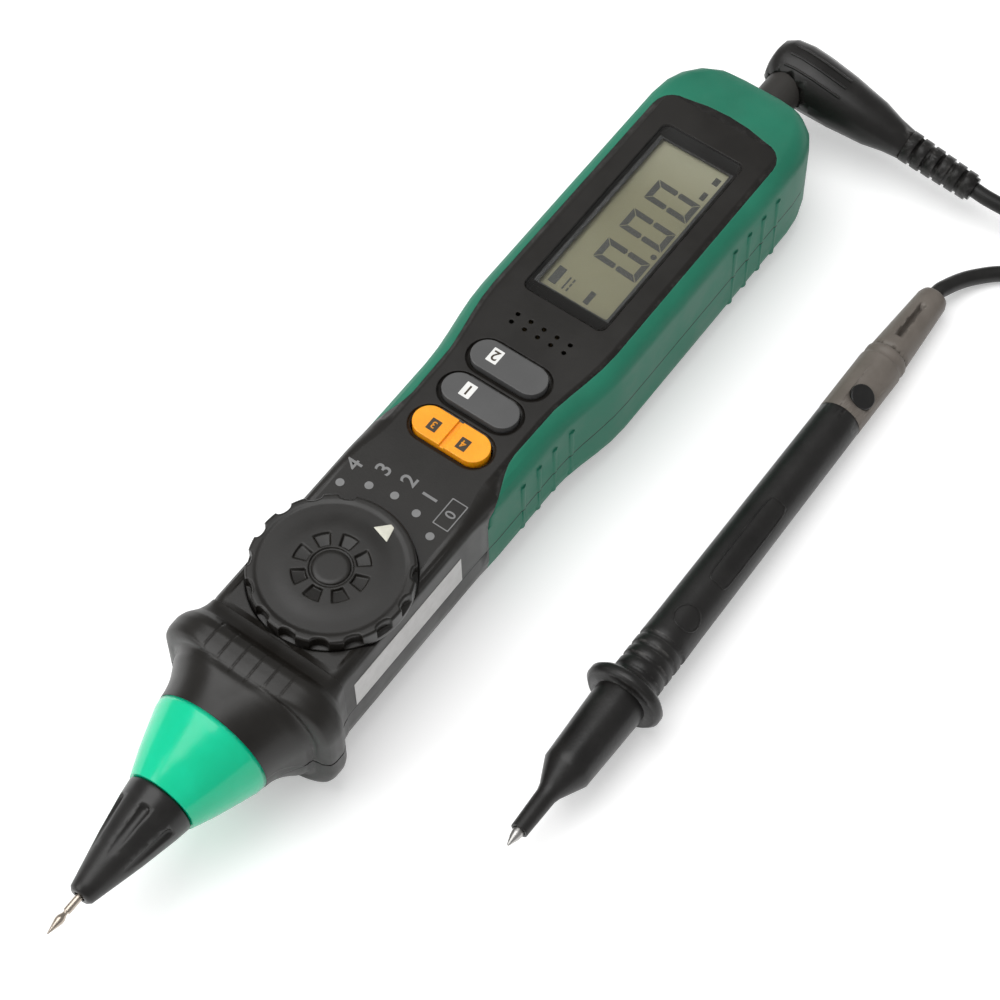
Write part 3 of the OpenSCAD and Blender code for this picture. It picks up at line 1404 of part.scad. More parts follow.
// Tapered boot with three long slots
module probe_boot() {
    boot_front_r = collar_r - 0.4;
    boot_back_r = lead_r + 1.5;
    boot_round = 1;
    slots = 3;
    slot_w = 1;
    z0 = boot_at;
    color([0.42, 0.4, 0.37]) at_probe() difference() {
        rotate_extrude() polygon([[0, z0], [boot_front_r, z0],
            [boot_back_r, z0 + boot_l - 1.5 * boot_round],
            [boot_back_r - boot_round / 3, z0 + boot_l - boot_round / 2],
            [boot_back_r - boot_round, z0 + boot_l], [0, z0 + boot_l]]);
        for (i = [0 : slots - 1]) rotate([0, 0, 180 + i * 360 / slots])
            translate([lead_r + near_gap, -slot_w / 2, z0 + boot_l * 0.18])
                cube([collar_r, slot_w, boot_l * 0.5]);
    }
}

front_shell();
front_grip();
rear_shell();
rear_grip();
display_window();
display_cell();
display_frame();
contact_strips();
circuit_board();
main_chip();
board_parts();
button_switches();
buzzer_disc();
selector_dial();
contact_rotor();
rotor_wipers();
dial_screw();
detent_spring();
func_button();
max_button();
range_rocker();
light_ring();
ring_lamp();
pin_guide();
nose_cone();
probe_pin();
pin_carrier();
pin_contact();
battery_a();
battery_b();
battery_contacts();
battery_door();
door_screw();
fuse_tube();
fuse_caps();
fuse_clips();
jack_body();
jack_contact();
shell_screws();
board_screws();
plug_pin();
plug_shroud();
plug_body();
plug_relief();
lead_plug_run();
lead_coil();
lead_probe_run();
probe_boot();
probe_collar();
probe_badge();
probe_handle();
probe_needle();
probe_cap();
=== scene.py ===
import bpy
import bmesh
import json
import math
import numpy as np
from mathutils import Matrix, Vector
from mathutils.bvhtree import BVHTree

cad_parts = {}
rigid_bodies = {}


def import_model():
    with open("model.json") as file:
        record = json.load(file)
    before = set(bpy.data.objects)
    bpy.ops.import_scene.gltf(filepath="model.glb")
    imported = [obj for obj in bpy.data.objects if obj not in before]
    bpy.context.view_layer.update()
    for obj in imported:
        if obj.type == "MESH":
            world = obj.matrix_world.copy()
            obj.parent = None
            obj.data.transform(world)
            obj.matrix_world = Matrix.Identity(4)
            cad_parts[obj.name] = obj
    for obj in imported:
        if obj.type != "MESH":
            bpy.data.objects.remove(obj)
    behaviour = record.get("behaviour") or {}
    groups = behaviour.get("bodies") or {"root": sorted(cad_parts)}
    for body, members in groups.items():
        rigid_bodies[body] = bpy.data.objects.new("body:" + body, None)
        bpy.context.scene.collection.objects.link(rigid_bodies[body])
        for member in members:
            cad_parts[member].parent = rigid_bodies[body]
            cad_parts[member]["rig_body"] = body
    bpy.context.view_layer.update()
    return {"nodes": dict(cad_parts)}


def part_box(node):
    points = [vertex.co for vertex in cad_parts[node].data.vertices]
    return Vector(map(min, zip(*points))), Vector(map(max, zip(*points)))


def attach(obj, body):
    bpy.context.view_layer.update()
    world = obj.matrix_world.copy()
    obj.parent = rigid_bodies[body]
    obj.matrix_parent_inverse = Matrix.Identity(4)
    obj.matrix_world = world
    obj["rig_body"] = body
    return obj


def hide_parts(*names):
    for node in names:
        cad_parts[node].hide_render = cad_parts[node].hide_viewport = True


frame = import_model()
nodes = frame["nodes"]
MM = 0.001

# Camera


def add_object(name, data):
    """A new object in the scene for a mesh, a camera, a lamp or a text curve."""
    obj = bpy.data.objects.new(name, data)
    bpy.context.scene.collection.objects.link(obj)
    return obj


def look_from(obj, place, aim):
    """Places an object and turns its front to a point, without roll."""
    obj.location = place
    obj.rotation_euler = (Vector(aim) - Vector(place)).to_track_quat("-Z", "Y").to_euler()


def add_camera():
    """Camera on the line of sight found for the photograph."""
    data = bpy.data.cameras.new("photo_camera")
    data.sensor_fit = "HORIZONTAL"
    data.sensor_width = 36.0
    data.lens = 99.86
    camera = add_object("photo_camera", data)
    look_from(camera, (-0.1970, -0.1570, 0.4335), (0.01091, -0.00597, 0.0025))
    bpy.context.scene.camera = camera


add_camera()
bpy.context.scene.view_settings.view_transform = "Standard"

# Mesh makers


def put_mesh(name, verts, faces, body, slot, material, smooth_deg=30.0):
    """A closed skin from vertex and face lists in metres, turned outwards and shaded smooth up to an angle,
    riding on a body."""
    mesh = bpy.data.meshes.new(name)
    mesh.from_pydata(np.asarray(verts, float).tolist(), [], [list(map(int, f)) for f in faces])
    mesh.validate()
    obj = add_object(name, mesh)
    mesh.materials.append(material)
    outward(obj)
    finish_faces(mesh, smooth_deg)
    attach(obj, body)
    return obj


def finish_faces(mesh, smooth_deg):
    """Smooth shading everywhere, kept sharp where two faces meet at more than the angle."""
    mesh.polygons.foreach_set("use_smooth", np.ones(len(mesh.polygons), dtype=bool))
    mesh.set_sharp_from_angle(angle=math.radians(smooth_deg))
    mesh.update()


def grid_faces(rows, cols, closed_cols=True, closed_rows=False):
    """Quads of a grid of rows by cols points, whose columns may close on themselves."""
    i = np.arange(rows if closed_rows else rows - 1)
    j = np.arange(cols if closed_cols else cols - 1)
    ii, jj = np.meshgrid(i, j, indexing="ij")
    right = (jj + 1) % cols
    down = (ii + 1) % rows
    quads = np.stack([ii * cols + jj, ii * cols + right, down * cols + right, down * cols + jj], -1)
    return quads.reshape(-1, 4)


def closed_grid(points):
    """A closed skin from rings of points: the quads between rings and a fan over each end ring."""
    rows, cols = points.shape[:2]
    verts = points.reshape(-1, 3)
    quads = grid_faces(rows, cols)
    first = points[0].mean(0)
    last = points[-1].mean(0)
    verts = np.vstack([verts, first, last])
    a = np.arange(cols)
    b = (a + 1) % cols
    top = np.stack([np.full(cols, rows * cols), b, a], -1)
    end = (rows - 1) * cols
    bottom = np.stack([np.full(cols, rows * cols + 1), end + a, end + b], -1)
    faces = [list(f) for f in quads] + [list(f) for f in top] + [list(f) for f in bottom]
    return verts, faces


def closed_bands(rings):
    """A closed band from rings of points, whose last ring joins the first."""
    rings = np.asarray(rings, float)
    return rings.reshape(-1, 3), grid_faces(len(rings), rings.shape[1], closed_rows=True)


def outward(obj):
    """Normals of a closed skin worked out anew so that they point outwards."""
    bm = bmesh.new()
    bm.from_mesh(obj.data)
    bmesh.ops.remove_doubles(bm, verts=bm.verts, dist=1e-7)
    bmesh.ops.recalc_face_normals(bm, faces=bm.faces)
    bm.to_mesh(obj.data)
    bm.free()


def soft_copy(node, material, bevel_mm=0.0, segments=2, smooth_deg=32.0):
    """A merged copy of a CAD solid, with its flat faces joined and its edges rounded by a small radius."""
    source = nodes[node]
    bm = bmesh.new()
    bm.from_mesh(source.data)
    bmesh.ops.remove_doubles(bm, verts=bm.verts, dist=2e-6)
    if bevel_mm:
        bmesh.ops.dissolve_limit(bm, angle_limit=math.radians(0.6), verts=bm.verts, edges=bm.edges)
    mesh = bpy.data.meshes.new(node + "_finished")
    bm.to_mesh(mesh)
    bm.free()
    obj = add_object(node + "_finished", mesh)
    mesh.materials.clear()
    mesh.materials.append(material)
    finish_faces(mesh, smooth_deg)
    if bevel_mm:
        bevel = obj.modifiers.new("edge_round", "BEVEL")
        bevel.width = bevel_mm * MM
        bevel.segments = segments
        bevel.limit_method = "ANGLE"
        bevel.angle_limit = math.radians(38.0)
        bevel.use_clamp_overlap = True
    weighted = obj.modifiers.new("flat_faces_stay_flat", "WEIGHTED_NORMAL")
    weighted.mode = "FACE_AREA_WITH_ANGLE"
    weighted.weight = 90
    weighted.keep_sharp = True
    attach(obj, source["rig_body"])
    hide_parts(node)
    return obj


def crease_flat(obj, above_mm):
    """Keeps the flat panel flat: its outline is sharp where it meets the slightly sloping crown."""
    bm = bmesh.new()
    bm.from_mesh(obj.data)
    bm.normal_update()
    for edge in bm.edges:
        flat = [f.normal.z > 0.9998 and f.calc_center_median().z > above_mm * MM for f in edge.link_faces]
        if len(flat) == 2 and flat[0] != flat[1]:
            edge.smooth = False
    bm.to_mesh(obj.data)
    bm.free()


# Node groups


def new_group(name, inputs, outputs):
    """An empty shader group with named number or colour inputs and outputs."""
    group = bpy.data.node_groups.new(name, "ShaderNodeTree")
    for label, value in inputs:
        kind = "NodeSocketColor" if isinstance(value, tuple) else "NodeSocketFloat"
        socket = group.interface.new_socket(name=label, in_out="INPUT", socket_type=kind)
        socket.default_value = value
    for label, kind in outputs:
        group.interface.new_socket(name=label, in_out="OUTPUT", socket_type=kind)
    return group, group.nodes.new("NodeGroupInput"), group.nodes.new("NodeGroupOutput")


def feed(tree, socket, value):
    """Sets a socket to a number or a colour, or links it to another node's output."""
    if isinstance(value, tuple):
        socket.default_value = (*value, 1.0)
    elif isinstance(value, (int, float)):
        socket.default_value = value
    else:
        tree.links.new(value, socket)


def math_node(tree, operation, *values, clamp=False):
    node = tree.nodes.new("ShaderNodeMath")
    node.operation = operation
    node.use_clamp = clamp
    for socket, value in zip(node.inputs, values):
        feed(tree, socket, value)
    return node.outputs[0]


def range_node(tree, value, low, high, to_low=0.0, to_high=1.0, smooth=True):
    node = tree.nodes.new("ShaderNodeMapRange")
    node.interpolation_type = "SMOOTHSTEP" if smooth else "LINEAR"
    for label, number in (("Value", value), ("From Min", low), ("From Max", high), ("To Min", to_low),
                          ("To Max", to_high)):
        feed(tree, node.inputs[label], number)
    return node.outputs["Result"]


def noise_node(tree, vector, scale, detail, rough):
    node = tree.nodes.new("ShaderNodeTexNoise")
    for label, value in (("Vector", vector), ("Scale", scale), ("Detail", detail), ("Roughness", rough)):
        feed(tree, node.inputs[label], value)
    return node.outputs["Fac"]


def own_place(tree):
    return tree.nodes.new("ShaderNodeTexCoord").outputs["Object"]


def split(tree, vector):
    parts = tree.nodes.new("ShaderNodeSeparateXYZ")
    tree.links.new(vector, parts.inputs[0])
    return parts.outputs


def make_grain_group():
    """Moulded grain: fine noise for the texture of the tool and slow noise for the spread of the melt."""
    group, gin, gout = new_group(
        "moulded_grain",
        [("Grain Size", 2600.0), ("Cloud Size", 60.0)],
        [("Height", "NodeSocketFloat"), ("Clouds", "NodeSocketFloat"), ("Specks", "NodeSocketFloat")])
    place = own_place(group)
    fine = noise_node(group, place, gin.outputs["Grain Size"], 2.0, 0.6)
    cells = group.nodes.new("ShaderNodeTexVoronoi")
    group.links.new(place, cells.inputs["Vector"])
    group.links.new(gin.outputs["Grain Size"], cells.inputs["Scale"])
    height = math_node(group, "ADD", math_node(group, "MULTIPLY", fine, 0.7),
                       math_node(group, "MULTIPLY", cells.outputs["Distance"], 0.45))
    clouds = noise_node(group, place, gin.outputs["Cloud Size"], 4.0, 0.6)
    specks = range_node(group, noise_node(group, place, 900.0, 4.0, 0.7), 0.62, 0.74)
    group.links.new(height, gout.inputs["Height"])
    group.links.new(range_node(group, clouds, 0.3, 0.7), gout.inputs["Clouds"])
    group.links.new(specks, gout.inputs["Specks"])
    return group


def make_edge_group():
    """Edges: the rounded normal of the corner, and how far it turns from the flat one, as a wear mask."""
    group, gin, gout = new_group(
        "worn_edges", [("Patchiness", 0.5)],
        [("Normal", "NodeSocketVector"), ("Rub", "NodeSocketFloat")])
    bevel = group.nodes.new("ShaderNodeBevel")
    bevel.samples = 4
    bevel.inputs["Radius"].default_value = 0.28 * MM
    shape = group.nodes.new("ShaderNodeNewGeometry")
    dot = group.nodes.new("ShaderNodeVectorMath")
    dot.operation = "DOT_PRODUCT"
    group.links.new(bevel.outputs["Normal"], dot.inputs[0])
    group.links.new(shape.outputs["True Normal"], dot.inputs[1])
    turned = range_node(group, dot.outputs["Value"], 0.985, 0.80)
    place = own_place(group)
    patches = noise_node(group, place, 420.0, 4.0, 0.65)
    kept = range_node(group, patches, gin.outputs["Patchiness"], 0.72)
    group.links.new(bevel.outputs["Normal"], gout.inputs["Normal"])
    group.links.new(math_node(group, "MULTIPLY", turned, kept), gout.inputs["Rub"])
    return group


def make_dust_group():
    """Dust: a thin patchy film that lies on faces that look up."""
    group, gin, gout = new_group("settled_dust", [("Cover", 0.5)], [("Film", "NodeSocketFloat")])
    shape = group.nodes.new("ShaderNodeNewGeometry")
    facing = split(group, shape.outputs["Normal"])
    place = own_place(group)
    film = range_node(group, noise_node(group, place, 140.0, 6.0, 0.7), 0.35, 0.85)
    up = range_node(group, facing["Z"], 0.2, 1.0)
    both = math_node(group, "MULTIPLY", film, up)
    group.links.new(math_node(group, "MULTIPLY", both, gin.outputs["Cover"]), gout.inputs["Film"])
    return group


GRAIN = make_grain_group()
EDGES = make_edge_group()
DUST = make_dust_group()


def use_group(tree, group, **values):
    node = tree.nodes.new("ShaderNodeGroup")
    node.node_tree = group
    for label, value in values.items():
        node.inputs[label.replace("_", " ")].default_value = value
    return node


def mix_colour(tree, share, a, b):
    node = tree.nodes.new("ShaderNodeMix")
    node.data_type = "RGBA"
    for index, value in ((0, share), (6, a), (7, b)):
        feed(tree, node.inputs[index], value)
    return node.outputs[2]


def line_mask(tree, at_mm, half_mm):
    """1 on a thin line where the object's own height is near a value, 0 elsewhere."""
    height = split(tree, own_place(tree))["Z"]
    off = math_node(tree, "ABSOLUTE", math_node(tree, "SUBTRACT", height, at_mm * MM))
    return range_node(tree, off, half_mm * MM * 1.5, half_mm * MM * 0.6)


def start_material(name, grain, clouds):
    """A new material, its tree, its shader and the outputs of its grain group."""
    material = bpy.data.materials.new(name)
    material.use_nodes = True
    tree = material.node_tree
    grained = use_group(tree, GRAIN, Grain_Size=grain, Cloud_Size=clouds).outputs
    return material, tree, tree.nodes["Principled BSDF"], grained


def grain_bump(tree, shader, height, depth_mm, normal=None):
    """Bump of a depth from a height, over the rounded normal where there is one."""
    bump = tree.nodes.new("ShaderNodeBump")
    bump.inputs["Distance"].default_value = depth_mm * MM
    tree.links.new(height, bump.inputs["Height"])
    if normal is not None:
        tree.links.new(normal, bump.inputs["Normal"])
    tree.links.new(bump.outputs["Normal"], shader.inputs["Normal"])


def moulded(name, base, cloud, rub, rough, grain=2400.0, depth=0.006, rub_share=0.5, dust=0.10,
            metallic=0.0, coat=0.0, seam=None, translucent=0.0, clouds=60.0, specular=0.5):
    """A moulded or metal finish: colour clouds, rubbed edges, dust, grain in bump, a broken gloss and painted
    seam shade.
    """
    material, tree, shader, grained = start_material(name, grain, clouds)
    edge = use_group(tree, EDGES, Patchiness=0.42).outputs
    film = use_group(tree, DUST, Cover=dust).outputs["Film"]
    colour = mix_colour(tree, grained["Clouds"], base, cloud)
    share = math_node(tree, "MULTIPLY", edge["Rub"], rub_share)
    colour = mix_colour(tree, share, colour, rub)
    colour = mix_colour(tree, film, colour, (0.42, 0.41, 0.39))
    height = grained["Height"]
    if seam is not None:
        # Painted shade: a thin dark line at the parting height stands for the shade in the seam groove
        # between the halves; the bump also sinks it.
        dark = line_mask(tree, seam, 0.16)
        colour = mix_colour(tree, math_node(tree, "MULTIPLY", dark, 0.85), colour, (0.006, 0.006, 0.006))
        height = math_node(tree, "SUBTRACT", height, math_node(tree, "MULTIPLY", dark, 6.0))
    tree.links.new(colour, shader.inputs["Base Color"])
    gloss = range_node(tree, grained["Clouds"], 0.0, 1.0, rough - 0.05, rough + 0.07)
    gloss = math_node(tree, "ADD", gloss, math_node(tree, "MULTIPLY", film, 0.5))
    gloss = math_node(tree, "SUBTRACT", gloss, math_node(tree, "MULTIPLY", share, 0.12), clamp=True)
    tree.links.new(gloss, shader.inputs["Roughness"])
    grain_bump(tree, shader, height, depth, edge["Normal"])
    shader.inputs["Metallic"].default_value = metallic
    shader.inputs["Coat Weight"].default_value = coat
    shader.inputs["Coat Roughness"].default_value = 0.12
    shader.inputs["Specular IOR Level"].default_value = specular
    if translucent:
        shader.inputs["Subsurface Weight"].default_value = translucent
        shader.inputs["Subsurface Radius"].default_value = (0.3, 1.0, 0.7)
        shader.inputs["Subsurface Scale"].default_value = 0.002
    return material


def printed(name, base, rough=0.5, worn=0.25):
    """Screen-printed ink: a pale or dark film with pinholes and thin places."""
    material, tree, shader, grained = start_material(name, 4200.0, 500.0)
    thin = tuple(c * 0.55 for c in base)
    colour = mix_colour(tree, math_node(tree, "MULTIPLY", grained["Clouds"], worn), base, thin)
    colour = mix_colour(tree, math_node(tree, "MULTIPLY", grained["Specks"], worn), colour, thin)
    tree.links.new(colour, shader.inputs["Base Color"])
    gloss = range_node(tree, grained["Clouds"], 0.0, 1.0, rough - 0.06, rough + 0.08)
    tree.links.new(gloss, shader.inputs["Roughness"])
    grain_bump(tree, shader, grained["Height"], 0.004)
    return material


def clear_lens(name):
    """Clear hard plastic: plain transmission, with faint smears in its gloss, that lets the light through."""
    material, tree, shader, grained = start_material(name, 1500.0, 90.0)
    tint = mix_colour(tree, grained["Clouds"], (0.97, 0.98, 0.97), (0.93, 0.95, 0.94))
    tree.links.new(tint, shader.inputs["Base Color"])
    tree.links.new(range_node(tree, grained["Clouds"], 0.0, 1.0, 0.02, 0.07), shader.inputs["Roughness"])
    shader.inputs["Transmission Weight"].default_value = 1.0
    shader.inputs["IOR"].default_value = 1.45
    clear = tree.nodes.new("ShaderNodeBsdfTransparent")
    path = tree.nodes.new("ShaderNodeLightPath")
    mix = tree.nodes.new("ShaderNodeMixShader")
    shadow = path.outputs["Is Shadow Ray"]
    for socket, value in zip(mix.inputs, (shadow, shader.outputs[0], clear.outputs[0])):
        tree.links.new(value, socket)
    tree.links.new(mix.outputs[0], tree.nodes["Material Output"].inputs["Surface"])
    return material


def display_face(name):
    """Liquid crystal face: yellowish grey, with painted light making it paler towards its far end and painted
    shade darkening its long rims.
    """
    material, tree, shader, grained = start_material(name, 5200.0, 45.0)
    colour = mix_colour(tree, grained["Clouds"], (0.150, 0.140, 0.082), (0.166, 0.155, 0.092))
    place = split(tree, own_place(tree))
    # Painted light: the far end of the face is mixed towards a paler colour.
    far = range_node(tree, place["X"], 0.066, 0.083)
    colour = mix_colour(tree, math_node(tree, "MULTIPLY", far, 0.6), colour, (0.30, 0.29, 0.21))
    # Painted shade: the face is darkened along its long rims, next to the frame.
    rim = range_node(tree, math_node(tree, "ABSOLUTE", place["Y"]), 0.0074, 0.0082)
    colour = mix_colour(tree, math_node(tree, "MULTIPLY", rim, 0.8), colour, (0.06, 0.058, 0.045))
    tree.links.new(colour, shader.inputs["Base Color"])
    tree.links.new(range_node(tree, grained["Clouds"], 0.0, 1.0, 0.28, 0.36), shader.inputs["Roughness"])
    grain_bump(tree, shader, grained["Height"], 0.002)
    return material


# Height of the parting line, along which the body and grip finishes paint a line of shade.
PARTING = 13.6

BLACK = moulded("black_body_plastic", (0.0070, 0.0058, 0.0044), (0.0098, 0.0083, 0.0065),
    (0.085, 0.080, 0.074), 0.38, grain=2800.0, depth=0.010, rub_share=0.35, dust=0.008, seam=PARTING,
    specular=0.40)
GREEN = moulded("green_grip_rubber", (0.008, 0.150, 0.088), (0.011, 0.185, 0.110), (0.035, 0.34, 0.23),
    0.52, grain=2200.0, depth=0.012, rub_share=0.40, dust=0.02, seam=PARTING, specular=0.35)
DIAL = moulded("dial_plastic", (0.0060, 0.0050, 0.0038), (0.0085, 0.0072, 0.0056), (0.14, 0.13, 0.115),
    0.33, depth=0.005, dust=0.006, specular=0.40)
KEY_GREY = moulded("grey_key_plastic", (0.072, 0.072, 0.072), (0.088, 0.088, 0.088), (0.34, 0.34, 0.34),
    0.48, rub_share=0.75, dust=0.015, specular=0.42)
KEY_YELLOW = moulded("orange_key_plastic", (0.94, 0.33, 0.001), (0.97, 0.39, 0.002), (0.98, 0.58, 0.08),
    0.34, depth=0.005, rub_share=0.3, dust=0.02, translucent=0.2)
RING = moulded("green_light_ring", (0.0005, 0.52, 0.270), (0.001, 0.60, 0.330), (0.16, 0.92, 0.70), 0.20,
    grain=1800.0, depth=0.003, rub_share=0.3, dust=0.0, coat=0.15, translucent=0.25, specular=0.35)
NOSE = moulded("nose_plastic", (0.0065, 0.0060, 0.0055), (0.0100, 0.0092, 0.0085), (0.11, 0.105, 0.10),
    0.33, grain=2600.0, dust=0.02, specular=0.40)
PIN = moulded("plated_pin_metal", (0.42, 0.36, 0.30), (0.52, 0.46, 0.40), (0.85, 0.82, 0.78), 0.26,
    grain=3000.0, depth=0.004, rub_share=0.7, dust=0.03, metallic=1.0)
STEEL = moulded("screw_steel", (0.50, 0.49, 0.47), (0.42, 0.41, 0.40), (0.85, 0.84, 0.82), 0.30,
    grain=3200.0, depth=0.004, rub_share=0.7, dust=0.08, metallic=1.0)
BRASS = moulded("contact_brass", (0.62, 0.45, 0.18), (0.52, 0.36, 0.14), (0.90, 0.74, 0.42), 0.30,
    grain=3000.0, depth=0.004, rub_share=0.6, dust=0.05, metallic=1.0)
TIN = moulded("battery_and_spring_metal", (0.60, 0.59, 0.57), (0.50, 0.49, 0.48), (0.9, 0.9, 0.88), 0.28,
    grain=3000.0, depth=0.003, rub_share=0.6, dust=0.05, metallic=1.0)
LEAD = moulded("lead_rubber", (0.0070, 0.0068, 0.0062), (0.0110, 0.0105, 0.0095), (0.06, 0.06, 0.055), 0.42,
    grain=1900.0, depth=0.008, rub_share=0.3, dust=0.03, clouds=120.0, specular=0.38)
PLUG = moulded("plug_plastic", (0.0070, 0.0065, 0.0060), (0.0110, 0.0100, 0.0092), (0.12, 0.115, 0.11),
    0.32, depth=0.007, rub_share=0.55, dust=0.02, specular=0.38)
SHROUD = moulded("shroud_plastic", (0.026, 0.024, 0.022), (0.034, 0.031, 0.028), (0.16, 0.15, 0.14), 0.42,
    depth=0.007, dust=0.03, specular=0.38)
HANDLE = moulded("probe_handle_plastic", (0.0065, 0.0060, 0.0056), (0.0100, 0.0093, 0.0086),
    (0.11, 0.105, 0.10), 0.36, grain=1700.0, depth=0.020, dust=0.02, specular=0.38)
COLLAR = moulded("grey_collar_plastic", (0.125, 0.108, 0.092), (0.150, 0.130, 0.112), (0.30, 0.28, 0.25),
    0.46, grain=1800.0, depth=0.012, rub_share=0.4, dust=0.03, clouds=200.0, specular=0.35)
BADGE = moulded("badge_plastic", (0.006, 0.006, 0.006), (0.010, 0.0095, 0.009), (0.10, 0.10, 0.10), 0.28,
    grain=2600.0, depth=0.003, rub_share=0.4, dust=0.02, specular=0.4)
INSIDE = moulded("inner_black_plastic", (0.012, 0.012, 0.012), (0.018, 0.017, 0.017), (0.10, 0.10, 0.10),
    0.55, depth=0.008, rub_share=0.3, dust=0.05, specular=0.3)
BOARD = moulded("board_laminate", (0.012, 0.115, 0.045), (0.016, 0.145, 0.060), (0.20, 0.34, 0.20), 0.36,
    grain=3600.0, rub_share=0.4, coat=0.2)
CHIP = moulded("chip_epoxy", (0.014, 0.014, 0.015), (0.022, 0.022, 0.023), (0.10, 0.10, 0.10), 0.52,
    grain=3600.0, rub_share=0.3)
CERAMIC = moulded("small_part_ceramic", (0.42, 0.33, 0.22), (0.50, 0.41, 0.30), (0.70, 0.62, 0.50), 0.45,
    grain=3600.0, depth=0.004, rub_share=0.3)
SLEEVE = moulded("battery_sleeve", (0.030, 0.085, 0.26), (0.040, 0.105, 0.31), (0.40, 0.45, 0.55), 0.28,
    grain=1500.0, depth=0.004, rub_share=0.4, dust=0.06, coat=0.4)
PAD_RUBBER = moulded("contact_rubber", (0.55, 0.53, 0.50), (0.48, 0.46, 0.43), (0.70, 0.68, 0.65), 0.60,
    depth=0.008, rub_share=0.3)
LAMP = moulded("lamp_epoxy", (0.70, 0.86, 0.78), (0.62, 0.80, 0.70), (0.92, 0.96, 0.94), 0.20, depth=0.002,
    rub_share=0.3, dust=0.04, translucent=0.4)
LENS = clear_lens("clear_window_plastic")
FUSE_GLASS = clear_lens("fuse_glass")
DISPLAY = display_face("display_face")
INK_GREY = printed("grey_panel_ink", (0.20, 0.20, 0.20))
INK_WHITE = printed("white_key_ink", (0.78, 0.78, 0.76), worn=0.15)
INK_DARK = printed("dark_key_ink", (0.045, 0.030, 0.015), worn=0.12)
INK_BLACK = printed("black_lens_ink", (0.012, 0.012, 0.012), rough=0.35, worn=0.2)
SEGMENT = printed("display_segment", (0.030, 0.030, 0.026), rough=0.4, worn=0.25)
POINTER_INK = printed("cream_pointer_paint", (0.62, 0.61, 0.52), worn=0.2)
STRIP = printed("label_strip_film", (0.60, 0.59, 0.58), rough=0.35, worn=0.12)

for finish, names in (
        (BLACK, "front_shell rear_shell battery_door"), (GREEN, "front_grip rear_grip"),
        (LENS, "display_window"), (DISPLAY, "display_cell"), (FUSE_GLASS, "fuse_tube"), (LAMP, "ring_lamp"),
        (INSIDE, "display_frame button_switches pin_guide pin_carrier jack_body"), (CHIP, "main_chip"),
        (PAD_RUBBER, "contact_strips contact_rotor"), (BOARD, "circuit_board"), (CERAMIC, "board_parts"),
        (BRASS, "buzzer_disc rotor_wipers pin_contact fuse_clips jack_contact"), (PIN, "probe_pin"),
        (STEEL, "dial_screw door_screw shell_screws board_screws probe_needle"),
        (TIN, "detent_spring battery_contacts fuse_caps plug_pin"), (SLEEVE, "battery_a battery_b")):
    for node_name in names.split():
        mesh = nodes[node_name].data
        mesh.materials.clear()
        mesh.materials.append(finish)

# Solids carried over with rounded edges

front_shell = soft_copy("front_shell", BLACK, smooth_deg=26.0)
crease_flat(front_shell, 26.35)
rear_shell = soft_copy("rear_shell", BLACK, smooth_deg=26.0)
for node_name in ("front_grip", "rear_grip"):
    soft_copy(node_name, GREEN, smooth_deg=26.0)
soft_copy("battery_door", BLACK)
soft_copy("light_ring", RING)
soft_copy("nose_cone", NOSE, smooth_deg=38.0)
soft_copy("probe_pin", PIN)
for node_name in ("func_button", "max_button"):
    soft_copy(node_name, KEY_GREY, bevel_mm=0.75, segments=5)
soft_copy("range_rocker", KEY_YELLOW, bevel_mm=0.45, segments=4)
soft_copy("plug_shroud", SHROUD)
plug_body = soft_copy("plug_body", PLUG)
soft_copy("plug_relief", PLUG)
probe_handle = soft_copy("probe_handle", HANDLE)
soft_copy("probe_collar", COLLAR)
soft_copy("probe_boot", COLLAR)
soft_copy("probe_badge", BADGE, bevel_mm=0.2, segments=3)
soft_copy("probe_cap", HANDLE)
soft_copy("jack_body", INSIDE)

# Finger guard and taper


def ease(t):
    """Smooth step from 0 to 1."""
    t = np.clip(t, 0.0, 1.0)
    return t * t * (3.0 - 2.0 * t)


def mix_sets(a, b, t):
    return [u + (v - u) * t for u, v in zip(a, b)]


def guard_stations():
    """Places along the body and section sizes in millimetres: half width, floor, top, back corner radius,
    top corner radius and wall lean, from the light ring over the guard's crest to the panel."""
    ring = [11.4, 5.7, 28.5, 11.3, 11.3, 0]
    neck = [13.9, 2.6, 28.9, 11.0, 11.0, 0]
    guard = [17.7, 0, 29.0, 10.3, 8.8, 0]
    front = [14.1, 0, 26.4, 9.5, 2.4, 0.3]
    places = [-62.1 + 6.9 * t for t in (0, 0.28, 0.54, 0.78)]
    sets = [mix_sets(ring, neck, t) for t in (0, 0.12, 0.34, 0.66)]
    shares = (0, 0.18, 0.22, 0.32, 0.46, 0.62, 0.79, 0.9, 1, 1.2, 1.42)
    rises = (0, 0.12, 0.62, 0.93, 1, 1, 0.86, 0.6, 0.32, 0.08, 0)
    for share, rise in zip(shares, rises):
        places.append(-55.2 + 8.5 * share)
        sets.append(mix_sets(mix_sets(neck, front, float(ease(share))), guard, rise))
    return np.array(places), np.array(sets)


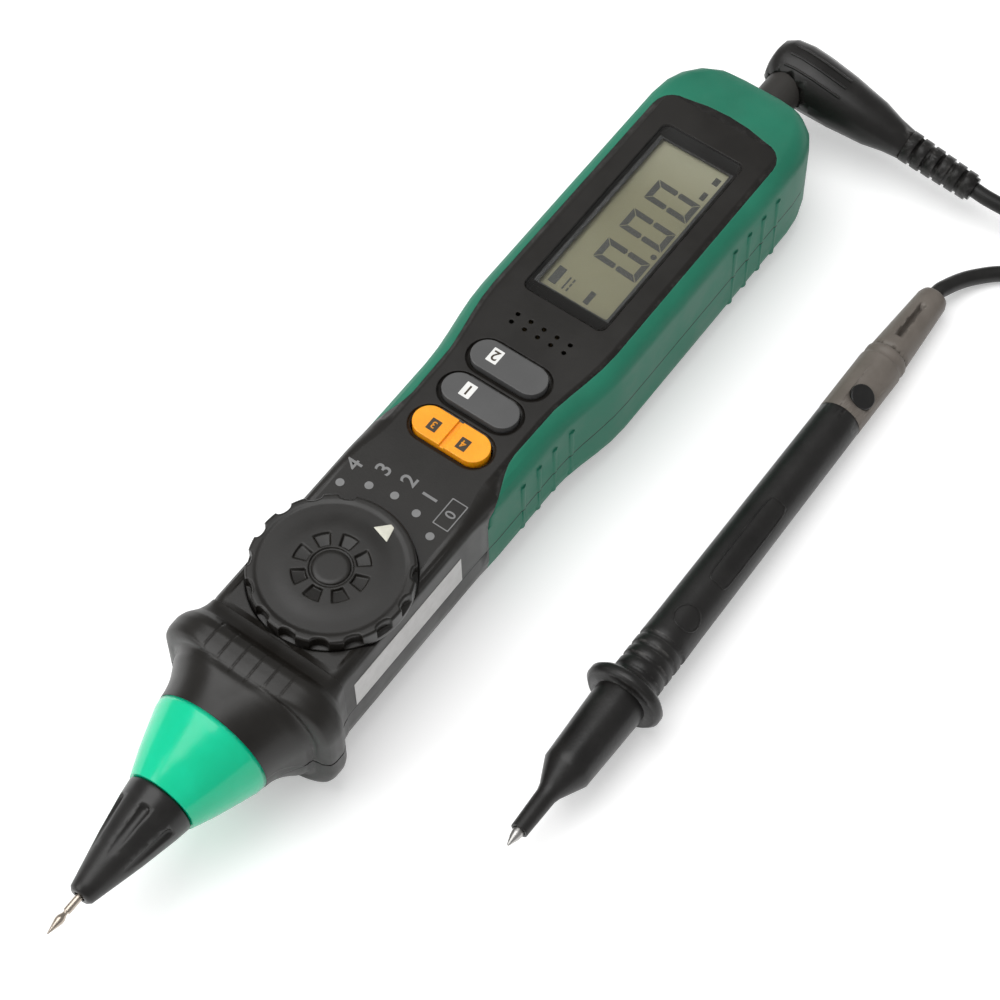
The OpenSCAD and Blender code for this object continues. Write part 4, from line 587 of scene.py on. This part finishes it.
def smooth_through(x, known_x, known_y):
    """Values at x on a monotone cubic through known values: Hermite pieces whose end slopes are the
    harmonic means of the neighbouring slopes, or zero at a turn."""
    h = np.diff(known_x)[:, None]
    slope = np.diff(known_y, axis=0) / h
    m = np.zeros_like(known_y)
    same = slope[:-1] * slope[1:] > 0
    both = np.where(same, slope[:-1] + slope[1:], 1.0)
    m[1:-1] = np.where(same, 2 * slope[:-1] * slope[1:] / both, 0.0)
    m[0] = slope[0]
    m[-1] = slope[-1]
    k = np.clip(np.searchsorted(known_x, x) - 1, 0, len(known_x) - 2)
    t = ((x - known_x[k]) / np.diff(known_x)[k])[:, None]
    hk = h[k]
    return ((2 * t ** 3 - 3 * t ** 2 + 1) * known_y[k] + (t ** 3 - 2 * t ** 2 + t) * hk * m[k]
            + (-2 * t ** 3 + 3 * t ** 2) * known_y[k + 1] + (t ** 3 - t ** 2) * hk * m[k + 1])


THUMB_GROOVES = (-8.0, -4.8, -1.6, 1.6, 4.8, 8.0)


def guard_rings(x, sets, shrink):
    """Closed sections of the body at x: four corner arcs joined by straight sides, with six thumb grooves
    across the crest. The outer sections also have a seam groove at the parting height."""
    w, low, top, rb, rt, lean = [v[:, None] for v in sets.T]
    a = np.linspace(0, np.pi / 2, 22)[None, :]
    seam = np.array([-0.55, -0.2, -0.14, 0.0, 0.14, 0.2, 0.55])[None, :] + PARTING
    sink = np.array([0.0, 0.0, 0.3, 0.34, 0.3, 0.0, 0.0])[None, :] * (shrink == 0)
    side_z = np.clip(np.broadcast_to(seam, (len(x), 7)), low + rb + 0.01, top - rt - 0.01)
    y = np.hstack([w - rb + rb * np.sin(a), w - 0.02 * lean - sink, w - lean - rt + rt * np.cos(a)])
    z = np.hstack([low + rb - rb * np.cos(a), side_z, top - rt + rt * np.sin(a)])
    over_y = np.linspace(1, -1, 132)[None, 1:-1] * (w - lean - rt)
    under_y = np.linspace(-1, 1, 12)[None, 1:-1] * (w - rb)
    y = np.hstack([y, over_y, -y[:, ::-1], under_y])
    z = np.hstack([z, top + 0 * over_y, z[:, ::-1], low + 0 * under_y])
    along = (ease((x + 54.6) / 0.4) * ease((-47.2 - x) / 0.6))[:, None]
    for centre in THUMB_GROOVES:
        z = z - 0.13 * along * (z > 20) * ease(1 - np.abs(y - centre) / 0.26)
    middle = (low + top) / 2
    return np.stack([x[:, None] + 0 * y, y * (1 - shrink), middle + (z - middle) * (1 - shrink)], -1)


def guard_skin():
    """Outer skin from the ring to the panel and an inner skin one thirtieth smaller, closed at both ends."""
    places, sets = guard_stations()
    x = np.concatenate([np.linspace(-62.09, -55.2, 36), np.linspace(-55.1, -44.1, 84)])
    found = smooth_through(x, places, sets)
    outer = guard_rings(x, found, 0.0)
    grow = 0.03 * ease(x + 47.6)[:, None]
    outer[..., 1] += np.sign(outer[..., 1]) * grow
    outer[..., 2] += np.where(outer[..., 2] > 24, grow, 0.0)
    verts, faces = closed_bands(np.concatenate([outer, guard_rings(x, found, 0.5 / 15.0)[::-1]]))
    put_mesh("finger_guard_skin", verts * MM, faces, "meter_body", "body_plastic", BLACK, 42.0)


SKIN_COVERS_TO = -44.6
MID_HEIGHT = 0.0145


def draw_in(obj):
    """Draws a finished copy's wall in by a fortieth where the guard's skin covers it."""
    co = np.zeros(len(obj.data.vertices) * 3, np.float32)
    obj.data.vertices.foreach_get("co", co)
    co = co.reshape(-1, 3)
    amount = (co[:, 0] < SKIN_COVERS_TO * MM) * 0.025
    co[:, 1] *= 1 - amount
    co[:, 2] += (MID_HEIGHT - co[:, 2]) * amount
    obj.data.vertices.foreach_set("co", co.ravel())
    obj.data.update()


guard_skin()
draw_in(front_shell)
draw_in(rear_shell)

# Lead


def unit(v):
    return v / np.linalg.norm(v)


PROBE_START = np.array([-10.5, -47.95, 7.58])
LEAD_D = 3.1
COIL_PITCH = 3.6
COIL_TURNS = 7 + 250 / 360


def lead_route():
    """The lead's centre line in millimetres: the run from the plug, the coil from its top turn to its
    bottom turn and the run to the probe. The coil is a spiral in and out: radius from the turn count,
    height by a smooth step of one pitch at half its turns."""
    n = COIL_TURNS * np.arange(193) / 192
    d = n - COIL_TURNS / 2
    back = np.where(np.abs(d) > 0.25, np.abs(d), 2 * d * d + 0.125)
    a = np.radians(200 + 360 * n)
    r = 24.2 - COIL_PITCH * (COIL_TURNS / 2 - back)
    coil = np.stack([140 + r * np.cos(a), -80 + r * np.sin(a), 1.6 + COIL_PITCH * ease(2 * d + 0.5)], -1)
    into = unit(coil[1] - coil[0]) * LEAD_D
    out = unit(coil[-1] - coil[-2]) * LEAD_D
    droop = math.radians(8)
    down = np.array([0, -math.cos(droop), -math.sin(droop)])
    plug_end = np.array([117.6, -40.60, 7.894])
    plug = [plug_end, plug_end + LEAD_D * down, [118.9, -50.4, 6.4], [122.4, -54, 5.9], [127.2, -55.7, 5.4],
            coil[-1] + out * 3, coil[-1] + out]
    tilt = math.radians(2.05)
    turn = math.radians(0.77)
    along = np.array([math.cos(tilt) * math.cos(turn), math.cos(tilt) * math.sin(turn), -math.sin(tilt)])
    probe_end = PROBE_START + along * 105.2
    probe = [probe_end, probe_end + along * LEAD_D / 2, [98.1, -47.1, 3.45], [100.4, -47.9, 2.9],
             [102.7, -49, 2.4], [104.9, -50.5, 2], [107, -52.3, 1.75], [108.9, -54.6, 1.6],
             [110.4, -57.6, 1.6], [111.3, -61.4, 1.6], [111.9, -67.4, 1.6], [112.4, -74, 1.6],
             coil[0] - into * 3, coil[0] - into]
    return np.array(plug), coil, np.array(probe), along


def through_points(points, steps):
    """A smooth curve through points: centripetal Catmull-Rom, with the end points doubled outwards. Each
    point of a span is blended from its four neighbours in three rounds of straight steps."""
    p = np.vstack([2 * points[0] - points[1], points, 2 * points[-1] - points[-2]])
    out = []
    for k in range(len(p) - 3):
        near = p[k:k + 4]
        t = np.append(0.0, np.cumsum(np.linalg.norm(np.diff(near, axis=0), axis=1) ** 0.5))
        u = np.linspace(t[1], t[2], steps, endpoint=False)[:, None]

        def blend(a, b, lo, hi):
            return ((t[hi] - u) * a + (u - t[lo]) * b) / (t[hi] - t[lo])

        first = [blend(near[i], near[i + 1], i, i + 1) for i in range(3)]
        second = [blend(first[i], first[i + 1], i, i + 2) for i in range(2)]
        out.append(blend(*second, 1, 2))
    out.append(points[-1:])
    return np.vstack(out)


def rings_about(path, side, up, radius, sides):
    """Circles about the points of a path, in the plane of two unit vectors at each."""
    a = np.linspace(0, 2 * np.pi, sides, endpoint=False)[None, :, None]
    return path[:, None, :] + (np.cos(a) * side[:, None, :] + np.sin(a) * up[:, None, :]) * radius


def tube_rings(path, radius, sides):
    """Rings of a round tube about a path, each turned from the last with no twist."""
    step = np.gradient(path, axis=0)
    step /= np.linalg.norm(step, axis=1, keepdims=True)
    across = np.zeros_like(path)
    across[0] = unit(np.cross(step[0], [0, 0, 1.0]))
    for k in range(1, len(path)):
        across[k] = unit(across[k - 1] - step[k] * np.dot(across[k - 1], step[k]))
    return rings_about(path, across, np.cross(step, across), radius, sides)


plug_run, coil_run, probe_run, PROBE_ALONG = lead_route()
lead_line = through_points(np.vstack([plug_run, coil_run[::-1], probe_run[::-1]]), 4)
lead_skin = closed_grid(tube_rings(lead_line * MM, LEAD_D / 2 * MM, 16))
lead = put_mesh("test_lead_cord", *lead_skin, "test_lead", "lead_rubber", LEAD, 60.0)
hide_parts("lead_plug_run", "lead_coil", "lead_probe_run")

# Dial

DIAL_X = -29.0
POINTER_DEG = -16
SCALLOP_DEG = 22.9


def dial_skin():
    """The dial as rings about its turning axis. Each ring is a radius and a height; the outer rings are
    drawn inwards by thirteen half-round scallops above a plain lower band, the flat top is sunk by eight
    wedge-shaped pockets round a small boss, and the rim is a quarter ellipse."""
    big, rim = 14.5, 0.55
    low, top = 25.07, 28.86
    hub_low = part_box("selector_dial")[0][2] / MM
    a = np.linspace(0, 2 * np.pi, 640, endpoint=False)
    pointer = math.radians(POINTER_DEG)
    inner = np.concatenate([np.linspace(0.02, 3.0, 8), np.linspace(3.15, 4.1, 12), np.linspace(4.2, 7.2, 34),
                            np.linspace(7.4, 11.4, 9), np.linspace(11.6, big - rim, 15)])
    curve = np.radians(np.linspace(0, 90, 9))[1:]
    rim_r = big - rim + rim * np.sin(curve)
    rim_z = top - rim + rim * np.cos(curve)
    side_z = np.concatenate([np.linspace(top - 0.75, 26.55, 6), [26.4, 26.3, 26.2, 26.0, 25.4, 25.15, low]])
    side_r = np.concatenate([np.full(6, big), [big, big, big, big, big, big - 0.08, big - 0.2]])
    r = np.concatenate([inner, rim_r, side_r])
    z = np.concatenate([np.full(len(inner), top), rim_z, side_z])
    rr, aa = np.meshgrid(r, a, indexing="ij")
    zz = np.repeat(z[:, None], len(a), 1)
    notch = np.zeros_like(a)
    for k in range(-6, 7):
        centre = pointer + math.pi + math.radians(SCALLOP_DEG) * k
        arc = (np.mod(a - centre + np.pi, 2 * np.pi) - np.pi) * big
        notch = np.maximum(notch, 0.85 * np.sqrt(np.clip(1 - (arc / 1.6) ** 2, 0, 1)))
    over = ease((zz - 26.25) / 0.25) * ease((rr - (big - 2.1)) / 1.0)
    rr = rr - over * notch[None, :]
    boss = 0.13 * ease((3.25 - rr) / 0.35) * (rr < 3.4)
    groove = -0.30 * ease((rr - 3.25) / 0.12) * ease((3.95 - rr) / 0.25)
    sector = np.mod(aa - pointer, np.pi / 4) - np.pi / 8
    wide = 1.10 + (rr - 4.2) * 0.24
    pocket = ease((wide - np.abs(sector) * rr) / 0.45) * ease((rr - 4.25) / 0.25) * ease((6.95 - rr) / 0.3)
    floor = 0.66 - 0.10 * (rr - 4.2)
    dish = 0.10 * ease((rr - 7.4) / 3.5) * ease((13.2 - rr) / 0.8)
    lip = 0.05 * ease((rr - 12.6) / 0.8) * (zz > 28)
    zz = zz + boss + groove - pocket * floor - dish + lip
    under = np.array([(big - 0.5, low), (3.8, low), (3.6, low - 0.3), (3.6, hub_low + 0.2), (3.4, hub_low),
                      (0.02, hub_low)])
    rr = np.vstack([rr, under[:, :1] + 0 * a])
    zz = np.vstack([zz, under[:, 1:] + 0 * a])
    return np.stack([DIAL_X + rr * np.cos(a), rr * np.sin(a), zz], -1) * MM


dial = put_mesh("dial_knob", *closed_grid(dial_skin()), "dial", "dial_plastic", DIAL, 34.0)
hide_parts("selector_dial")


def turned(points, degrees, cx=0.0):
    """Points turned about a vertical axis at cx on the centre line."""
    t = math.radians(degrees)
    p = np.asarray(points, float)
    x = p[:, 0] - cx
    return np.column_stack([cx + x * math.cos(t) - p[:, 1] * math.sin(t),
                            x * math.sin(t) + p[:, 1] * math.cos(t)])


def at_height(outline, z):
    """A flat outline as points at a height."""
    return np.column_stack([outline, np.full(len(outline), z)])


def raised_tile(name, outline, z0, z1, round_mm, *held):
    """A flat-topped tile: the outline, then the outline drawn in a little towards its centre at the top."""
    centre = outline.mean(0)
    share = 1 - round_mm / np.linalg.norm(outline - centre, axis=1).min()
    rings = [at_height(centre + (outline - centre) * s, z) for s, z in (
        (1.0, z0), (1.0, z1 - round_mm * 0.6), ((1 + share) / 2, z1 - round_mm * 0.15), (share, z1))]
    put_mesh(name, *closed_grid(np.array(rings)[::-1] * MM), *held)


def rounded_corners(corners, radius, steps=5):
    """An outline with its corners replaced by short curves that leave and join the edges smoothly."""
    corners = np.asarray(corners, float)
    out = []
    for k in range(len(corners)):
        before = corners[k - 1] - corners[k]
        after = corners[(k + 1) % len(corners)] - corners[k]
        p = corners[k] + before / np.linalg.norm(before) * radius
        q = corners[k] + after / np.linalg.norm(after) * radius
        t = np.linspace(0, 1, steps)[:, None]
        out.append((1 - t) ** 2 * p + 2 * t * (1 - t) * corners[k] + t * t * q)
    return np.vstack(out)


def box_outline(cx, cy, half_x, half_y, radius, steps=5):
    """A box about a centre with rounded corners."""
    return rounded_corners([[cx - half_x, cy - half_y], [cx + half_x, cy - half_y],
                            [cx + half_x, cy + half_y], [cx - half_x, cy + half_y]], radius, steps)


pointer_outline = rounded_corners([[-18.75, -1.85], [-15.3, 0.0], [-18.75, 1.85]], 0.2)
raised_tile("dial_pointer", turned(pointer_outline, POINTER_DEG, DIAL_X), 28.55, 28.84, 0.08,
            "dial", "dial_plastic", POINTER_INK)

# Marks on the panel and keys


def ray_tree(obj):
    """A search tree over a finished piece, for laying marks on it."""
    mesh = obj.data
    points = [v.co.copy() for v in mesh.vertices]
    return BVHTree.FromPolygons(points, [list(p.vertices) for p in mesh.polygons])


def laid_on(tree, points, direction, start, lift):
    """Points moved along a direction onto a surface, and held a hair above it."""
    d = Vector(direction)
    out = []
    for p in points:
        origin = Vector(p) - d * start
        hit = tree.ray_cast(origin, d)
        place = hit[0] if hit[0] is not None else Vector(p)
        out.append(place - d * lift)
    return np.array([tuple(v) for v in out])


def laid_down(outline, tree, z_mm):
    """Points in metres for a flat outline in millimetres: at a height, or laid on the surface below it
    where there is a tree."""
    points = at_height(np.asarray(outline, float), z_mm) * MM
    return points if tree is None else laid_on(tree, points, (0, 0, -1), 0.01, 0.03 * MM)


def outline_tile(name, outline, tree, z_mm, *held):
    """Printed mark: a thin tile with the given outline."""
    top = laid_down(outline, tree, z_mm)
    put_mesh(name, *closed_grid(np.array([top - [0, 0, 0.06 * MM], top])), *held)


def number_mark(name, text, centre, height, z_mm, body, slot, material, turn_deg=0.0):
    """A plain number of a set height, flat, made a mesh and then placed."""
    curve = bpy.data.curves.new(name, "FONT")
    curve.body = text
    curve.align_x = "CENTER"
    curve.align_y = "CENTER"
    curve.extrude = 0.02
    curve.offset = 0.012
    curve.resolution_u = 6
    temp = add_object(name + "_text", curve)
    bpy.context.view_layer.update()
    mesh = bpy.data.meshes.new_from_object(temp.evaluated_get(bpy.context.evaluated_depsgraph_get()))
    bpy.data.objects.remove(temp)
    co = np.zeros(len(mesh.vertices) * 3)
    mesh.vertices.foreach_get("co", co)
    co = co.reshape(-1, 3)
    flat = (co[:, :2] - (co.max(0) + co.min(0))[:2] / 2) * (height / np.ptp(co[:, 1]))
    placed = np.column_stack([turned(flat, turn_deg) + centre, z_mm + np.where(co[:, 2] > 0, 0.0, -0.05)])
    mesh.vertices.foreach_set("co", (placed * MM).ravel())
    mesh.materials.clear()
    mesh.materials.append(material)
    mesh.update()
    obj = add_object(name, mesh)
    outward(obj)
    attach(obj, body)


def disc_outline(x, y, r, count=28):
    a = np.linspace(0, 2 * np.pi, count, endpoint=False)
    return np.column_stack([x + r * np.cos(a), y + r * np.sin(a)])


shell_tree = ray_tree(front_shell)
ON_PANEL = ("meter_body", "body_plastic", INK_GREY)
PANEL_Z = 26.4
DOTS = [(-13.88, 9.95), (-11.45, 5.55), (-10.5, 0.75), (-11.15, -4.35), (-13.4, -8.95)]
for k, (x, y) in enumerate(DOTS):
    outline_tile("range_dot_%d" % (k + 1), disc_outline(x, y, 0.78), shell_tree, PANEL_Z, *ON_PANEL)
NUMBERS = [("4", (-9.6, 10.3)), ("3", (-7.4, 5.5)), ("2", (-6.6, 0.6)), ("1", (-7.2, -4.3)),
           ("0", (-8.0, -9.25))]
for text, place in NUMBERS:
    height = 2.0 if text == "0" else 3.0
    hit = shell_tree.ray_cast(Vector((place[0] * MM, place[1] * MM, 0.035)), Vector((0, 0, -1)))
    number_mark("range_number_" + text, text, place, height, hit[0].z / MM + 0.03, *ON_PANEL)


def frame_tile(name, cx, cy, half_x, half_y, line):
    """A printed box on the panel: one closed band about a centre."""
    outer = box_outline(cx, cy, half_x, half_y, 0.18)
    inner = [cx, cy] + (outer - [cx, cy]) * [(half_x - line) / half_x, (half_y - line) / half_y]
    rings = [laid_down(outline, shell_tree, PANEL_Z) - [0, 0, drop * MM]
             for outline, drop in ((outer, 0.05), (outer, 0.0), (inner, 0.0), (inner, 0.05))]
    put_mesh(name, *closed_bands(rings), *ON_PANEL)


frame_tile("zero_box", -8.0, -9.25, 3.0, 1.65, 0.2)

# Each key's mark: its box's name, number's name, body, slot, height of the key's top, centre, the box's half
# sizes and corner, the box's ink, the number, its height and its ink.
KEY_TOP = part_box("func_button")[1][2] / MM
ROCKER_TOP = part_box("range_rocker")[1][2] / MM
ON_KEY, ON_ROCKER = (1.55, 1.1, 0.15), (1.25, 1.0, 0.12)
for box_name, number_name, body, slot, top, centre, box, ink, digit, height, digit_ink in (
        ("func_key_box", "func_key_number", "func_key", "grey_button", KEY_TOP, (22.3, 3.35), ON_KEY,
         INK_WHITE, "2", 2.1, INK_DARK),
        ("max_key_box", "max_key_number", "max_key", "grey_button", KEY_TOP, (13.7, 2.95), ON_KEY,
         INK_WHITE, "1", 2.1, INK_DARK),
        ("left_rocker_box", "left_rocker_number", "rocker_key", "yellow_button", ROCKER_TOP, (4.45, 3.5),
         ON_ROCKER, INK_DARK, "3", 1.5, KEY_YELLOW),
        ("right_rocker_box", "right_rocker_number", "rocker_key", "yellow_button", ROCKER_TOP, (4.25, -2.95),
         ON_ROCKER, INK_DARK, "4", 1.5, KEY_YELLOW)):
    outline_tile(box_name, box_outline(*centre, *box), None, top + 0.03, body, slot, ink)
    number_mark(number_name, digit, centre, height, top + 0.06, body, slot, digit_ink, turn_deg=90.0)

# Raised lines on the probe and the plug


def raised_loop(name, loop, half_mm):
    """A thin round bead on the handle along a closed line of points, its lower half sunk in the handle."""
    step = np.roll(loop, -1, 0) - np.roll(loop, 1, 0)
    step /= np.linalg.norm(step, axis=1, keepdims=True)
    out = loop - loop.mean(0)
    side = out - step * (out * step).sum(1, keepdims=True)
    side /= np.linalg.norm(side, axis=1, keepdims=True)
    rings = rings_about(loop, side, np.cross(step, side), half_mm * MM, 10)
    put_mesh(name, *closed_bands(rings), "test_lead", "handle_plastic", HANDLE, 60.0)


PROBE_UP = unit(np.array([0.0, 0.0, 1.0]) - PROBE_ALONG * PROBE_ALONG[2])
PROBE_SIDE = np.cross(PROBE_UP, PROBE_ALONG)
handle_tree = ray_tree(probe_handle)


def on_handle(stations_mm, arcs_mm, turn_deg):
    """Points on the handle from places along it and around it, found by rays towards its axis."""
    out = []
    for s, arc in zip(stations_mm, arcs_mm):
        a = math.radians(turn_deg) + arc / 4.45
        normal = PROBE_UP * math.cos(a) + PROBE_SIDE * math.sin(a)
        foot = PROBE_START + PROBE_ALONG * s
        hit = handle_tree.ray_cast(Vector((foot + normal * 8) * MM), Vector(-normal))
        out.append(np.array(hit[0]))
    return np.array(out)


around = np.linspace(0, 2 * np.pi, 64, endpoint=False)
raised_loop("handle_round_mark", on_handle(17.0 + 2.5 * np.cos(around), 2.5 * np.sin(around), -20), 0.17)
power = 0.28
panel_s = 36.2 + 10.4 * np.sign(np.cos(around)) * np.abs(np.cos(around)) ** power
panel_arc = 2.1 * np.sign(np.sin(around)) * np.abs(np.sin(around)) ** power
fine = np.linspace(0, 64, 192, endpoint=False)
panel_s = np.interp(fine, np.arange(65), np.append(panel_s, panel_s[0]))
panel_arc = np.interp(fine, np.arange(65), np.append(panel_arc, panel_arc[0]))
raised_loop("handle_panel_edge", on_handle(panel_s, panel_arc, -24), 0.17)

plug_tree = ray_tree(plug_body)
for k, (x0, x1) in enumerate(((114.3, 114.6), (116.6, 116.7), (118.9, 118.8))):
    above = at_height(np.linspace((x0, 1.5), (x1, -11.0), 40), 22.0) * MM
    rib = closed_grid(tube_rings(laid_on(plug_tree, above, (0, 0, -1), 0.01, 0.0), 0.28 * MM, 10))
    put_mesh("plug_top_rib_%d" % (k + 1), *rib, "test_lead", "lead_rubber", PLUG, 60.0)

# Display

CELL_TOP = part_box("display_cell")[1][2] / MM
LENS_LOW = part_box("display_window")[0][2] / MM
SLANT = 0.06
W, H, BAR = 3.85, 8.45, 0.60


def segment(name, outline):
    outline_tile(name, outline, None, CELL_TOP + 0.05, "meter_body", "display_glass", SEGMENT)


def zero_bars():
    """The six bars of a zero: each a trapezium whose outer edge runs to the digit's corner and whose inner
    edge is shorter by the bar's thickness, so the bars meet along mitred gaps."""
    t, g = BAR, 0.12
    half = H / 2
    foot = [[-t + g, -t], [W + t - g, -t], [W - t - g, t], [t + g, t]]
    head = [[t + g, H - t], [W - t - g, H - t], [W + t - g, H + t], [-t + g, H + t]]
    low_left = [[-t, -t + g], [t, t + g], [t, half - t * 0.6], [0, half - g], [-t, half - t * 0.6]]
    bars = [foot, head, low_left]
    bars.append([[x, H - y] for x, y in low_left][::-1])
    bars.append([[W - x, y] for x, y in low_left][::-1])
    bars.append([[W - x, H - y] for x, y in low_left])
    return bars


for d, x0 in enumerate((51.85, 60.05, 68.1)):
    for k, bar in enumerate(zero_bars()):
        segment("digit_%d_bar_%d" % (d + 1, k + 1), [[x0 + x + SLANT * y, y - 6.1] for x, y in bar])
segment("minus_bar", [[42.2, -2.5], [45.2, -2.5], [45.3, -1.4], [42.3, -1.4]])
segment("decimal_point", disc_outline(57.9, -6.2, 0.6, 16))
SMALL_BLOCKS = [(42.5, 4.8, 4.0, 1.7), (42.5, 3.1, 3.0, 0.35), (42.5, 2.2, 0.8, 0.35), (43.6, 2.2, 0.8, 0.35),
                (44.7, 2.2, 0.8, 0.35), (73.6, -6.4, 1.9, 1.0), (77.8, -6.6, 1.7, 1.2)]
for k, (x, y, w, h) in enumerate(SMALL_BLOCKS):
    lean = SLANT * h
    segment("small_mark_%d" % (k + 1), [[x, y], [x + w, y], [x + w + lean, y + h], [x + lean, y + h]])

# Dark print round the window, on the underside of the lens: a flat band between two rounded boxes
border_outer = box_outline(60.8, 0.0, 22.7, 8.6, 1.4, 7)
border_inner = box_outline(60.9, -0.1, 20.0, 7.45, 0.5, 7)
border = [at_height(outline, LENS_LOW + z) * MM for outline, z in (
    (border_outer, -0.09), (border_outer, -0.03), (border_inner, -0.03), (border_inner, -0.09))]
put_mesh("lens_border_print", *closed_bands(border), "meter_body", "clear_window", INK_BLACK)

# Label strip on the side wall


def side_strip():
    """Blank film strip laid on the side wall: a grid of points dropped onto the wall along Y, the same grid
    a little deeper, and the band round their edges."""
    rows, cols = 60, 8
    xx, zz = np.meshgrid(np.linspace(-41.3, -11.4, rows), np.linspace(13.85, 20.95, cols), indexing="ij")
    flat = np.stack([xx, np.full_like(xx, -16.0), zz], -1).reshape(-1, 3) * MM
    outer = laid_on(shell_tree, flat, (0, 1, 0), 0.01, 0.08 * MM)
    n = rows * cols
    quads = grid_faces(rows, cols, closed_cols=False)
    index = np.arange(n).reshape(rows, cols)
    rim = np.concatenate([index[:, 0], index[-1, 1:], index[-2::-1, -1], index[0, -2:0:-1]])
    after = np.roll(rim, -1)
    faces = [*quads, *(n + quads[:, ::-1]), *np.stack([rim, after, n + after, n + rim], -1)]
    put_mesh("side_label_strip", np.vstack([outer, outer + [0, 0.07 * MM, 0]]), faces, "meter_body",
             "body_plastic", STRIP)


side_strip()

# Floor and light


def seen_rays(tree):
    """Two switches: 1 for rays of the camera, of mirrors and of glass, and 1 for those of mirrors alone."""
    path = tree.nodes.new("ShaderNodeLightPath").outputs
    seen = math_node(tree, "MAXIMUM", path["Is Camera Ray"], path["Is Glossy Ray"])
    return math_node(tree, "MAXIMUM", seen, path["Is Transmission Ray"]), path["Is Glossy Ray"]


def add_floor():
    """A plain pale floor, lifted to white for the camera and for mirrors, that keeps the shadow."""
    size = 1.6
    z = -0.02 * MM
    mesh = bpy.data.meshes.new("studio_floor")
    corners = [(-size, -size, z), (size, -size, z), (size, size, z), (-size, size, z)]
    mesh.from_pydata(corners, [], [(0, 1, 2, 3)])
    material = bpy.data.materials.new("studio_floor_paper")
    material.use_nodes = True
    tree = material.node_tree
    tree.nodes.clear()
    out = tree.nodes.new("ShaderNodeOutputMaterial")
    paper = tree.nodes.new("ShaderNodeBsdfDiffuse")
    paper.inputs["Color"].default_value = (0.88, 0.88, 0.88, 1)
    glow = tree.nodes.new("ShaderNodeEmission")
    glow.inputs["Color"].default_value = (1, 1, 1, 1)
    tree.links.new(math_node(tree, "MULTIPLY", seen_rays(tree)[0], 0.30), glow.inputs["Strength"])
    both = tree.nodes.new("ShaderNodeAddShader")
    tree.links.new(paper.outputs[0], both.inputs[0])
    tree.links.new(glow.outputs[0], both.inputs[1])
    tree.links.new(both.outputs[0], out.inputs["Surface"])
    mesh.materials.append(material)
    add_object("studio_floor", mesh)


def add_world():
    """White to the camera and to glass, greyer in mirrors, and dimmer still as light on the surfaces."""
    world = bpy.data.worlds.new("studio_world")
    bpy.context.scene.world = world
    world.use_nodes = True
    tree = world.node_tree
    back = tree.nodes["Background"]
    back.inputs["Color"].default_value = (1, 1, 1, 1)
    seen, mirrors = seen_rays(tree)
    level = math_node(tree, "MULTIPLY", seen, range_node(tree, mirrors, 0.0, 1.0, 1.0, 0.38, smooth=False))
    plain = math_node(tree, "MULTIPLY", math_node(tree, "SUBTRACT", 1.0, seen), 0.60)
    tree.links.new(math_node(tree, "ADD", level, plain), back.inputs["Strength"])


def add_lamp(name, place, aim, size, power):
    data = bpy.data.lights.new(name, "AREA")
    data.shape = "RECTANGLE"
    data.size, data.size_y = size
    data.energy = power
    look_from(add_object(name, data), place, aim)


add_floor()
add_world()
add_lamp("top_softbox", (-0.06, 0.24, 0.95), (0.02, 0.0, 0.0), (0.80, 0.80), 6.0)
add_lamp("left_softbox", (-0.62, 0.42, 0.42), (0.0, 0.0, 0.0), (0.45, 0.50), 1.9)
